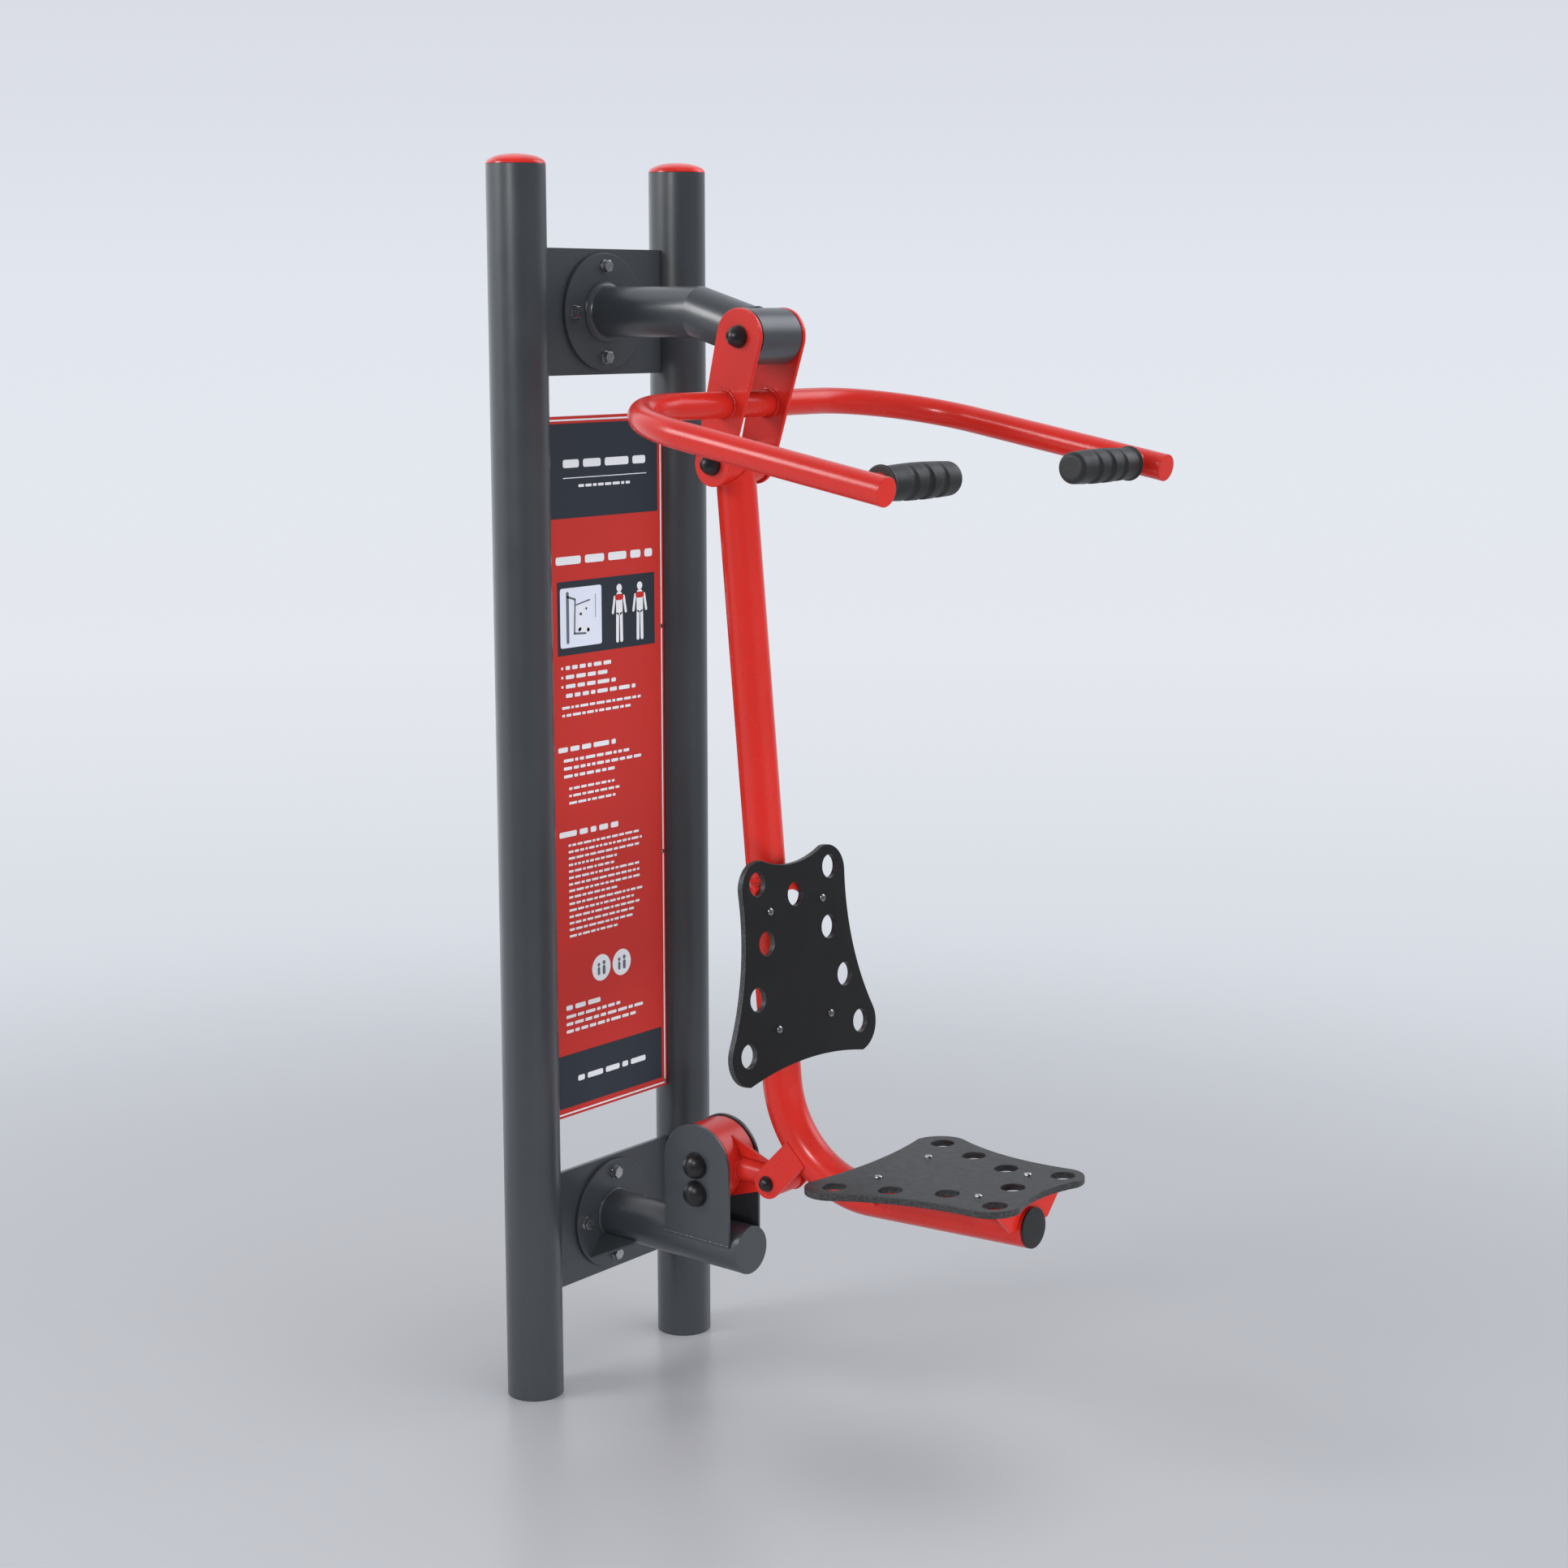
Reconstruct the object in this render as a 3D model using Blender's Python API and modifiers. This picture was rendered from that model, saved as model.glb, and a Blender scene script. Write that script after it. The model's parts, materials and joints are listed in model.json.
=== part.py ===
"""Outdoor-gym seated pull-down station, modelled at its real size in metres, +Z up.

The origin is on the ground midway between the two posts. +X points to the user's side and +Y from
the near post to the far one. A four-bar linkage moves the seat: the lever swings on the upper arm,
the seat tube hangs from the lever's lower end, and a short link guides the tube's foot.
"""

import math

import bmesh
import bpy
from mathutils import Matrix, Vector

# Fits that all pieces share
SEAT_GAP = 0.0003
CUT_OVERRUN = 0.006
WELD_DISTANCE = 0.000002

# Facets of round shapes
POST_SIDES = 28
TUBE_SIDES = 20
BAR_SIDES = 16
PIN_SIDES = 12
ROOM_SIDES = 56
CAP_SIDES = 14
HOLE_SIDES = 12
BOLT_HOLE_SIDES = 8
BEND_STEPS = 9
DOME_STEPS = 3
POST_DOME_STEPS = 4
SHARP_ANGLE = math.radians(35)
QUARTER_TURN = math.pi / 2
HALF_TURN = math.pi

# Posts and the plates between them
POST_SPACING = 0.360
POST_RADIUS = 0.04445
POST_WALL = 0.0036
POST_HEIGHT = 1.912
POST_CAP_RISE = 0.015
POST_CAP_PLUG_DEPTH = 0.020
CROSS_PLATE_THICKNESS = 0.008
CROSS_PLATE_HEIGHT = 0.1905
SIGN_THICKNESS = 0.010
SIGN_TOP_GAP = 0.0616
SIGN_FOOT_GAP = 0.0887

# Arms and their bolted flanges
ARM_RADIUS = 0.03805
ARM_WALL = 0.0032
UPPER_ARM_FROM_POST_TOP = 0.2152
LOWER_ARM_Z = 0.252
UPPER_ARM_KNEE_X = 0.2007
LOWER_ARM_REACH = 0.2978
FLANGE_RADIUS = 0.089
FLANGE_THICKNESS = 0.006
FLANGE_BOLT_COUNT = 4
FLANGE_BOLT_CIRCLE_RADIUS = 0.069
FLANGE_BOLT_HOLE_RADIUS = 0.0065
ARM_GUSSET_THICKNESS = 0.006
ARM_GUSSET_REACH = 0.078
ARM_GUSSET_RADIUS = 0.084
ARM_GUSSET_LAND = 0.006
ARM_GUSSET_ANGLE = math.radians(45)
END_DISC_THICKNESS = 0.003

# Upper pivot, where the lever swings in the pivot sleeve
UPPER_PIVOT_X = 0.321
UPPER_PIVOT_BELOW_ARM = 0.0348
PIVOT_SLEEVE_RADIUS = 0.0411
PIVOT_SLEEVE_WALL = 0.010
UPPER_AXLE_RADIUS = 0.0125
AXLE_END_RADIUS = 0.008
BUSH_FLANGE_THICKNESS = 0.002
BUSH_FLANGE_INSET = 0.0016
BUSH_LENGTH = 0.026

# Lever plates
LINK_PLATE_LENGTH = 0.1937
LINK_PLATE_LEAN = math.radians(15.42)
LINK_PLATE_THICKNESS = 0.0064
LINK_PLATE_UPPER_RADIUS = 0.0416
LINK_PLATE_LOWER_RADIUS = 0.0334
LEVER_HALF_WIDTH = 0.053
PIVOT_CAP_RADIUS = 0.0155
PIVOT_CAP_RISE = 0.0155
CAP_RIM_HEIGHT = 0.0014
CAP_RIM_WIDTH = 0.0012

# Handlebar and grips
HANDLEBAR_FROM_PIVOT = 0.1026
HANDLEBAR_RADIUS = 0.0199
HANDLEBAR_WALL = 0.0025
HANDLEBAR_HALF_WIDTH = 0.341
HANDLEBAR_BEND_RADIUS = 0.175
HANDLEBAR_REACH = 0.5227
HANDLEBAR_SLOPE = math.radians(10.03)
GRIP_FROM_BAR_END = 0.0406
GRIP_STUB_RADIUS = 0.015
GRIP_CORE_RADIUS = 0.010
GRIP_CORE_LENGTH = 0.144
GRIP_COLLAR_Y = 0.3027
GRIP_COLLAR_RADIUS = 0.0268
GRIP_COLLAR_LENGTH = 0.005
GRIP_COLLAR_FILLET = 0.004
GRIP_LENGTH = 0.1636
GRIP_NECK_RADIUS = 0.0230
GRIP_RADIUS = 0.0246
GRIP_END_ROUNDING = 0.006
GRIP_BARREL_STEPS = 4
FINGER_GROOVE_COUNT = 3
FINGER_GROOVE_START = 0.050
FINGER_GROOVE_PITCH = 0.034
FINGER_GROOVE_ROUNDING = 0.011
FINGER_GROOVE_DEPTH = 0.0022
FINGER_GROOVE_OFFSET = 0.004
FINGER_GROOVE_SIDES = 8
FINGER_SIDE_ANGLE = math.radians(-50)

# Seat tube, which hangs from the lever's lower axle
CARRIAGE_SLEEVE_RADIUS = 0.030
CARRIAGE_SLEEVE_WALL = 0.008
LOWER_AXLE_RADIUS = 0.010
SEAT_TUBE_RADIUS = 0.03015
SEAT_TUBE_WALL = 0.0036
SEAT_TUBE_TOP_DROP = 0.010
SEAT_CORNER_X = 0.3753
SEAT_CORNER_Z = 0.3822
SEAT_TUBE_BEND_RADIUS = 0.1667
SEAT_LEG_LENGTH = 0.4466
SEAT_LEG_RISE = math.radians(2.8)
SEAT_PLUG_THICKNESS = 0.004
SEAT_PLUG_DEPTH = 0.018
SEAT_PLUG_WALL = 0.003

# Seat and back, the same plate twice: stations run from its wide hole row to its narrow end
SEAT_LEG_PAST_BRACKET = 0.0044
BACK_STATION = 0.227
PAD_OFFSET = 0.0546
PAD_THICKNESS = 0.010
PAD_WIDE_END_STATION = -0.0315
PAD_WIDE_END_RADIUS = 0.600
PAD_WIDE_LOBE_PAST_END = 0.0020
PAD_WIDE_LOBE_Y = 0.129
PAD_WIDE_LOBE_RADIUS = 0.0445
PAD_SIDE_RADIUS = 0.410
PAD_NARROW_LOBE_PAST_END = -0.0026
PAD_NARROW_LOBE_Y = 0.080
PAD_NARROW_LOBE_RADIUS = 0.0423
PAD_NARROW_END_STATION = 0.2685
PAD_NARROW_END_RADIUS = 0.1833
PAD_END_STEPS = 6
PAD_SIDE_STEPS = 7
PAD_LOBE_STEPS = 6
PAD_HOLE_RADIUS = 0.018
PAD_HOLE_ROWS = 3
PAD_HOLE_FROM_LOBE_STATION = 0.003
PAD_HOLE_FROM_LOBE_Y = 0.0058
PAD_HOLE_ROW_PITCH = 0.0794
PAD_HOLE_ROW_STEP_IN = 0.0301
PAD_CORNER_HOLE_FROM_LOBE_STATION = 0.0082
PAD_CORNER_HOLE_FROM_LOBE_Y = 0.0068
PAD_MIDDLE_HOLE_FROM_END = 0.0469

# Folded brackets under the seat and behind the back
BRACKET_THICKNESS = 0.005
BRACKET_FOLD_RADIUS = 0.008
BRACKET_FOLD_STEPS = 3
BRACKET_HALF_WIDTH = 0.082
BRACKET_EDGE_HEIGHT = 0.007
BRACKET_FOOT_HALF_WIDTH = 0.047
BRACKET_FOOT_HEIGHT = 0.0035
BRACKET_FLANGE_LENGTH = 0.045
BRACKET_NOTCH_RADIUS = 0.040
BRACKET_NOTCH_DEPTH = 0.024
BRACKET_NARROW_STATION = 0.2485
BRACKET_WIDE_STATION = 0.0015

# Clevis on the seat tube's bend, pinned to the link's eye
CLEVIS_REACH = 0.2443
CLEVIS_ANGLE = math.radians(46)
CLEVIS_PLATE_LENGTH = 0.0795
CLEVIS_PLATE_HALF_WIDTH = 0.024
CLEVIS_PLATE_THICKNESS = 0.005
CLEVIS_HALF_WIDTH = 0.033
CLEVIS_PIN_RADIUS = 0.006
CLEVIS_CAP_RADIUS = 0.0122
CLEVIS_CAP_RISE = 0.0105

# Hub, held between two cheeks on the lower arm
HUB_X = 0.218
HUB_Z = 0.3832
HUB_RADIUS = 0.0635
HUB_WALL = 0.005
HUB_BOSS_WALL = 0.006
HUB_BUSH_WALL = 0.004
HUB_AXLE_RADIUS = 0.010
HUB_CAP_RADIUS = 0.0205
HUB_CAP_RISE = 0.0175
CHEEK_HALF_WIDTH = 0.0389
CHEEK_THICKNESS = 0.005
CHEEK_RADIUS = 0.0661
CHEEK_FOOT_ABOVE_ARM = 0.0135
STOP_BOLT_DROP = 0.0453
STOP_BOLT_RADIUS = 0.008
STOP_SLOT_TRAVEL = math.radians(24)
SLOT_STEPS = 5
SLOT_END_STEPS = PIN_SIDES // 2

# Lower link between the hub and the clevis
LINK_ARM_RADIUS = 0.019
LINK_ARM_WALL = 0.003
LINK_EYE_RADIUS = 0.022
LINK_EYE_HALF_WIDTH = 0.0265
LINK_EYE_BORE_RADIUS = 0.013
LINK_GUSSET_THICKNESS = 0.005
LINK_GUSSET_HUB_ANGLE = math.radians(51)
LINK_GUSSET_END_GAP = 0.0025
LINK_GUSSET_LAND = 0.0045
LINK_GUSSET_STEPS = 4

# Colour, roughness and metallic value of each finish
FINISHES = {
    "red_coat": ((0.597, 0.032, 0.026, 1.0), 0.28, 0.0),
    "anthracite_coat": ((0.052, 0.060, 0.068, 1.0), 0.38, 0.0),
    "sign_print": ((0.420, 0.024, 0.022, 1.0), 0.45, 0.0),
    "board": ((0.035, 0.035, 0.036, 1.0), 0.55, 0.0),
    "black_plastic": ((0.012, 0.012, 0.013, 1.0), 0.42, 0.0),
    "grip_rubber": ((0.020, 0.020, 0.021, 1.0), 0.60, 0.0),
    "bright_steel": ((0.560, 0.570, 0.580, 1.0), 0.30, 1.0),
    "bush_plastic": ((0.018, 0.018, 0.020, 1.0), 0.50, 0.0),
}

SIDES = (("near", -1), ("far", 1))


def polar(length, angle):
    """A vector in the plane of the linkage, its angle counted from +X towards +Z."""
    return Vector((length * math.cos(angle), 0, length * math.sin(angle)))


def sagitta(radius, half_chord):
    """How far an arc falls away at that distance from its middle."""
    return radius - math.sqrt(radius**2 - half_chord**2)


# Places that the sizes above give
UPPER_ARM_Z = POST_HEIGHT - UPPER_ARM_FROM_POST_TOP
SIGN_TOP_Z = UPPER_ARM_Z - CROSS_PLATE_HEIGHT / 2 - SIGN_TOP_GAP
SIGN_FOOT_Z = LOWER_ARM_Z + CROSS_PLATE_HEIGHT / 2 + SIGN_FOOT_GAP
UPPER_PIVOT = Vector((UPPER_PIVOT_X, 0, UPPER_ARM_Z - UPPER_PIVOT_BELOW_ARM))
LOWER_PIVOT = UPPER_PIVOT + polar(LINK_PLATE_LENGTH, -QUARTER_TURN - LINK_PLATE_LEAN)
SEAT_CORNER = Vector((SEAT_CORNER_X, 0, SEAT_CORNER_Z))
SEAT_TUBE_LEAN = math.atan2(SEAT_CORNER.x - LOWER_PIVOT.x, LOWER_PIVOT.z - SEAT_CORNER.z)
SEAT_END = SEAT_CORNER + polar(SEAT_LEG_LENGTH, SEAT_LEG_RISE)
BEND_HALF_ANGLE = (QUARTER_TURN + SEAT_TUBE_LEAN - SEAT_LEG_RISE) / 2
BEND_CENTRE = SEAT_CORNER + polar(
    SEAT_TUBE_BEND_RADIUS / math.sin(BEND_HALF_ANGLE), SEAT_LEG_RISE + BEND_HALF_ANGLE
)
CLEVIS_PIVOT = BEND_CENTRE - polar(CLEVIS_REACH, CLEVIS_ANGLE)
HUB_PIVOT = Vector((HUB_X, 0, HUB_Z))
LINK_SPAN = CLEVIS_PIVOT - HUB_PIVOT
LINK_ANGLE = math.atan2(LINK_SPAN.z, LINK_SPAN.x)
FLANGE_BACK_X = CROSS_PLATE_THICKNESS / 2 + SEAT_GAP
FLANGE_FRONT_X = FLANGE_BACK_X + FLANGE_THICKNESS
ARM_START_X = FLANGE_FRONT_X + SEAT_GAP
LINK_PLATE_INNER_Y = LEVER_HALF_WIDTH - LINK_PLATE_THICKNESS
SLEEVE_HALF_LENGTH = LINK_PLATE_INNER_Y - BUSH_FLANGE_THICKNESS - 2 * SEAT_GAP
# The bar's middle, counted from the lever's axis
HANDLEBAR_CENTRE = polar(HANDLEBAR_FROM_PIVOT, -QUARTER_TURN - LINK_PLATE_LEAN)
CHEEK_INNER_Y = CHEEK_HALF_WIDTH - CHEEK_THICKNESS
HUB_HALF_WIDTH = CHEEK_INNER_Y - BUSH_FLANGE_THICKNESS - 2 * SEAT_GAP
SEAT_STATION = SEAT_LEG_LENGTH - SEAT_LEG_PAST_BRACKET - BRACKET_NARROW_STATION
PAD_WIDE_LOBE_STATION = (
    PAD_WIDE_END_STATION
    - sagitta(PAD_WIDE_END_RADIUS, PAD_WIDE_LOBE_Y)
    + PAD_WIDE_LOBE_RADIUS
    - PAD_WIDE_LOBE_PAST_END
)
PAD_NARROW_LOBE_STATION = (
    PAD_NARROW_END_STATION
    + sagitta(PAD_NARROW_END_RADIUS, PAD_NARROW_LOBE_Y)
    - PAD_NARROW_LOBE_RADIUS
    + PAD_NARROW_LOBE_PAST_END
)


# Building tools
def new_collection(name):
    collection = bpy.data.collections.new(name)
    bpy.context.scene.collection.children.link(collection)
    return collection


def circle(centre, radius, sides, start=0.0, turn=2 * HALF_TURN):
    """Points on a circle in a plane, without the last one where it is a full turn."""
    return [
        (
            centre[0] + radius * math.cos(start + turn * step / sides),
            centre[1] + radius * math.sin(start + turn * step / sides),
        )
        for step in range(sides)
    ]


def arc(centre, radius, start, end, steps):
    """Points on an arc in a plane, both ends included."""
    return [
        (
            centre[0] + radius * math.cos(start + (end - start) * step / steps),
            centre[1] + radius * math.sin(start + (end - start) * step / steps),
        )
        for step in range(steps + 1)
    ]


def circles_meet(first, first_radius, second, second_radius, side):
    """The point where two circles in a plane meet, on the left (1) or right (-1) of first to second."""
    apart = math.dist(first, second)
    along = (apart**2 + first_radius**2 - second_radius**2) / (2 * apart)
    across = side * math.sqrt(first_radius**2 - along**2)
    ahead = ((second[0] - first[0]) / apart, (second[1] - first[1]) / apart)
    return (
        first[0] + ahead[0] * along - ahead[1] * across,
        first[1] + ahead[1] * along + ahead[0] * across,
    )


def angle_from(centre, point):
    return math.atan2(point[1] - centre[1], point[0] - centre[0])


def rounded_path(corners, radius, steps):
    """The corners joined by straight runs, with an arc of the given radius at each inner one."""
    path = [corners[0]]
    for before, corner, after in zip(corners, corners[1:], corners[2:]):
        back = (before - corner).normalized()
        ahead = (after - corner).normalized()
        half = back.angle(ahead) / 2
        centre = corner + (back + ahead).normalized() * (radius / math.sin(half))
        arm = corner + back * (radius / math.tan(half)) - centre
        axis = ahead.cross(back)
        turn = HALF_TURN - 2 * half
        for step in range(steps + 1):
            path.append(centre + Matrix.Rotation(turn * step / steps, 3, axis) @ arm)
    path.append(corners[-1])
    return path


def frozen(shape):
    """The shape as the viewport evaluates it, as a mesh object with its caps welded."""
    bpy.context.scene.collection.objects.link(shape)
    graph = bpy.context.evaluated_depsgraph_get()
    mesh = bpy.data.meshes.new_from_object(shape.evaluated_get(graph))
    name = shape.name
    piece = bpy.data.objects.new(name, mesh)
    piece.matrix_world = shape.matrix_world
    bpy.data.objects.remove(shape)
    solid = bmesh.new()
    solid.from_mesh(mesh)
    bmesh.ops.remove_doubles(solid, verts=solid.verts, dist=WELD_DISTANCE)
    bmesh.ops.recalc_face_normals(solid, faces=solid.faces)
    solid.to_mesh(mesh)
    solid.free()
    mesh.shade_smooth()
    mesh.set_sharp_from_angle(angle=SHARP_ANGLE)
    piece.name = name
    mesh.name = name
    return piece


def turned(name, profiles, sides, closed=False):
    """Profiles of (radius, height) turned about local Z. They run down their outer side."""
    points = []
    edges = []
    for profile in profiles:
        first = len(points)
        points += [(radius, 0, height) for radius, height in profile]
        edges += [(first + index, first + index + 1) for index in range(len(profile) - 1)]
        if closed:
            edges.append((len(points) - 1, first))
    mesh = bpy.data.meshes.new(name)
    mesh.from_pydata(points, edges, [])
    shape = bpy.data.objects.new(name, mesh)
    screw = shape.modifiers.new("turn", "SCREW")
    screw.steps = sides
    screw.render_steps = sides
    screw.use_merge_vertices = True
    screw.merge_threshold = WELD_DISTANCE
    return frozen(shape)


def rod(name, radius, low, high, sides):
    return turned(name, [[(0, high), (radius, high), (radius, low), (0, low)]], sides)


def ring(name, inner, outer, low, high, sides):
    return turned(
        name, [[(outer, high), (outer, low), (inner, low), (inner, high)]], sides, closed=True
    )


def domed_cap(name, radius, rise, sides):
    """A domed cap on a thin rim, flat underneath at local Z 0."""
    dome_radius = radius - CAP_RIM_WIDTH
    profile = [
        (dome_radius * math.sin(angle), CAP_RIM_HEIGHT + (rise - CAP_RIM_HEIGHT) * math.cos(angle))
        for angle in (QUARTER_TURN * step / DOME_STEPS for step in range(DOME_STEPS + 1))
    ]
    profile += [(radius, CAP_RIM_HEIGHT), (radius, 0), (0, 0)]
    return turned(name, [profile], sides)


def stepped_axle(name, radius, shoulder, end_radius, half_length):
    """A shaft whose thicker middle ends at a shoulder on each side."""
    profile = [(0, half_length), (end_radius, half_length), (end_radius, shoulder), (radius, shoulder)]
    profile += [(across, -height) for across, height in reversed(profile)]
    return turned(name, [profile], PIN_SIDES)


def flanged_bush(name, bore, outer, flange, sides):
    """A bush whose flange stands on local Z 0 and whose body reaches down into its sleeve."""
    profile = [
        (flange, BUSH_FLANGE_THICKNESS),
        (flange, 0),
        (outer, 0),
        (outer, -BUSH_LENGTH),
        (bore, -BUSH_LENGTH),
        (bore, BUSH_FLANGE_THICKNESS),
    ]
    return turned(name, [profile], sides, closed=True)


def tube(name, path, radius, sides, wall=None):
    """A round tube along a path, hollow and open at both ends where it has a wall."""
    curve = bpy.data.curves.new(name, "CURVE")
    curve.dimensions = "3D"
    curve.bevel_depth = radius
    curve.bevel_resolution = sides // 2 - 2
    curve.use_fill_caps = wall is None
    spline = curve.splines.new("POLY")
    spline.points.add(len(path) - 1)
    for point, place in zip(spline.points, path):
        point.co = (*place, 1)
    shape = bpy.data.objects.new(name, curve)
    if wall is not None:
        shell = shape.modifiers.new("wall", "SOLIDIFY")
        shell.thickness = wall
        shell.offset = -1
    return frozen(shape)


def plate(name, outline, thickness, holes=()):
    """A flat outline in local XY with round or shaped holes, its thickness shared about Z 0."""
    curve = bpy.data.curves.new(name, "CURVE")
    curve.dimensions = "2D"
    curve.fill_mode = "BOTH"
    curve.extrude = thickness / 2
    for loop in (outline, *holes):
        spline = curve.splines.new("POLY")
        spline.points.add(len(loop) - 1)
        for point, place in zip(spline.points, loop):
            point.co = (*place, 0, 1)
        spline.use_cyclic_u = True
    return frozen(bpy.data.objects.new(name, curve))


def box(name, size):
    mesh = bpy.data.meshes.new(name)
    solid = bmesh.new()
    bmesh.ops.create_cube(solid, size=1)
    bmesh.ops.scale(solid, vec=size, verts=solid.verts)
    solid.to_mesh(mesh)
    solid.free()
    return bpy.data.objects.new(name, mesh)


def copy_of(piece, name):
    return bpy.data.objects.new(name, piece.data)


def joined(piece, other, operation="DIFFERENCE"):
    """Cuts the other shape from the piece, or unites or intersects them."""
    modifier = piece.modifiers.new(other.name, "BOOLEAN")
    modifier.operation = operation
    modifier.object = other


def outward(sign):
    """The rotation that turns local Z to +Y (1) or -Y (-1)."""
    return (-sign * QUARTER_TURN, 0, 0)


# Local X stays along X and local Y turns up to Z
UPRIGHT = (QUARTER_TURN, 0, 0)
# Local X turns to Y, local Y to Z and local Z to X
ACROSS = (QUARTER_TURN, 0, QUARTER_TURN)
# Local Z turns to X
FORWARD = (0, QUARTER_TURN, 0)
FLAT = (0, 0, 0)


class Station:
    """Keeps the collections and the empties that stand on the joints' axes."""

    def __init__(self):
        self.parts = new_collection("pull_down_station")
        self.cutters = new_collection("cutters")
        self.frame = self.empty("frame_origin", None, Vector((0, 0, 0)), FLAT)
        self.lever = self.empty("lever_axis", self.frame, UPPER_PIVOT, FLAT)
        self.carriage = self.empty("carriage_axis", self.lever, LOWER_PIVOT - UPPER_PIVOT, FLAT)
        self.link = self.empty("link_axis", self.frame, HUB_PIVOT, FLAT)
        corner = SEAT_CORNER - LOWER_PIVOT
        self.seat_leg = self.empty("seat_leg", self.carriage, corner, (0, -SEAT_LEG_RISE, 0))
        back_turn = (0, SEAT_TUBE_LEAN - QUARTER_TURN, HALF_TURN)
        self.back_leg = self.empty("back_leg", self.carriage, corner, back_turn)

    def empty(self, name, parent, location, rotation):
        stand = bpy.data.objects.new(name, None)
        self.parts.objects.link(stand)
        stand.parent = parent
        stand.location = location
        stand.rotation_euler = rotation
        return stand

    def add(self, piece, parent, location, rotation, finish):
        """Places a part and gives it its own material."""
        self.parts.objects.link(piece)
        piece.parent = parent
        piece.location = location
        piece.rotation_euler = rotation
        colour, roughness, metallic = FINISHES[finish]
        material = bpy.data.materials.new(piece.name)
        material.use_nodes = True
        shader = material.node_tree.nodes["Principled BSDF"]
        shader.inputs["Base Color"].default_value = colour
        shader.inputs["Roughness"].default_value = roughness
        shader.inputs["Metallic"].default_value = metallic
        material.diffuse_color = colour
        piece.data.materials.append(None)
        piece.material_slots[0].link = "OBJECT"
        piece.material_slots[0].material = material
        return piece

    def cutter(self, shape, parent, location, rotation):
        """Places a helper shape that is not itself a part."""
        self.cutters.objects.link(shape)
        shape.parent = parent
        shape.location = location
        shape.rotation_euler = rotation
        shape.hide_render = True
        shape.display_type = "WIRE"
        return shape


# Frame
def build_posts(station):
    wall = ring("near_post", POST_RADIUS - POST_WALL, POST_RADIUS, 0, POST_HEIGHT, POST_SIDES)
    plug_radius = POST_RADIUS - POST_WALL - SEAT_GAP
    profile = [
        (POST_RADIUS * math.sin(angle), POST_CAP_RISE * math.cos(angle))
        for angle in (QUARTER_TURN * step / POST_DOME_STEPS for step in range(POST_DOME_STEPS + 1))
    ]
    profile += [(plug_radius, 0), (plug_radius, -POST_CAP_PLUG_DEPTH), (0, -POST_CAP_PLUG_DEPTH)]
    cap = turned("near_post_cap", [profile], POST_SIDES)
    for side, sign in SIDES:
        foot = Vector((0, sign * POST_SPACING / 2, 0))
        post = wall if side == "near" else copy_of(wall, "far_post")
        station.add(post, station.frame, foot, FLAT, "anthracite_coat")
        lid = cap if side == "near" else copy_of(cap, "far_post_cap")
        top = foot + Vector((0, 0, POST_HEIGHT + SEAT_GAP))
        station.add(lid, station.frame, top, FLAT, "red_coat")


def clear_width():
    """Between the posts' nearest sides, less the gaps."""
    return POST_SPACING - 2 * (POST_RADIUS + SEAT_GAP)


def bolt_holes():
    return [
        circle(
            (
                FLANGE_BOLT_CIRCLE_RADIUS * math.cos(2 * HALF_TURN * index / FLANGE_BOLT_COUNT),
                FLANGE_BOLT_CIRCLE_RADIUS * math.sin(2 * HALF_TURN * index / FLANGE_BOLT_COUNT),
            ),
            FLANGE_BOLT_HOLE_RADIUS,
            BOLT_HOLE_SIDES,
        )
        for index in range(FLANGE_BOLT_COUNT)
    ]


def build_cross_plates(station):
    half_width = clear_width() / 2
    half_height = CROSS_PLATE_HEIGHT / 2
    outline = [
        (-half_width, -half_height),
        (half_width, -half_height),
        (half_width, half_height),
        (-half_width, half_height),
    ]
    for name, height in (("upper_cross_plate", UPPER_ARM_Z), ("lower_cross_plate", LOWER_ARM_Z)):
        flat = plate(name, outline, CROSS_PLATE_THICKNESS, bolt_holes())
        station.add(flat, station.frame, (0, 0, height), ACROSS, "anthracite_coat")


def build_sign(station):
    panel = box("sign_panel", (SIGN_THICKNESS, clear_width(), SIGN_TOP_Z - SIGN_FOOT_Z))
    middle = (0, 0, (SIGN_FOOT_Z + SIGN_TOP_Z) / 2)
    station.add(panel, station.frame, middle, FLAT, "sign_print")


def flange(name):
    return plate(name, circle((0, 0), FLANGE_RADIUS, POST_SIDES), FLANGE_THICKNESS, bolt_holes())


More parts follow.
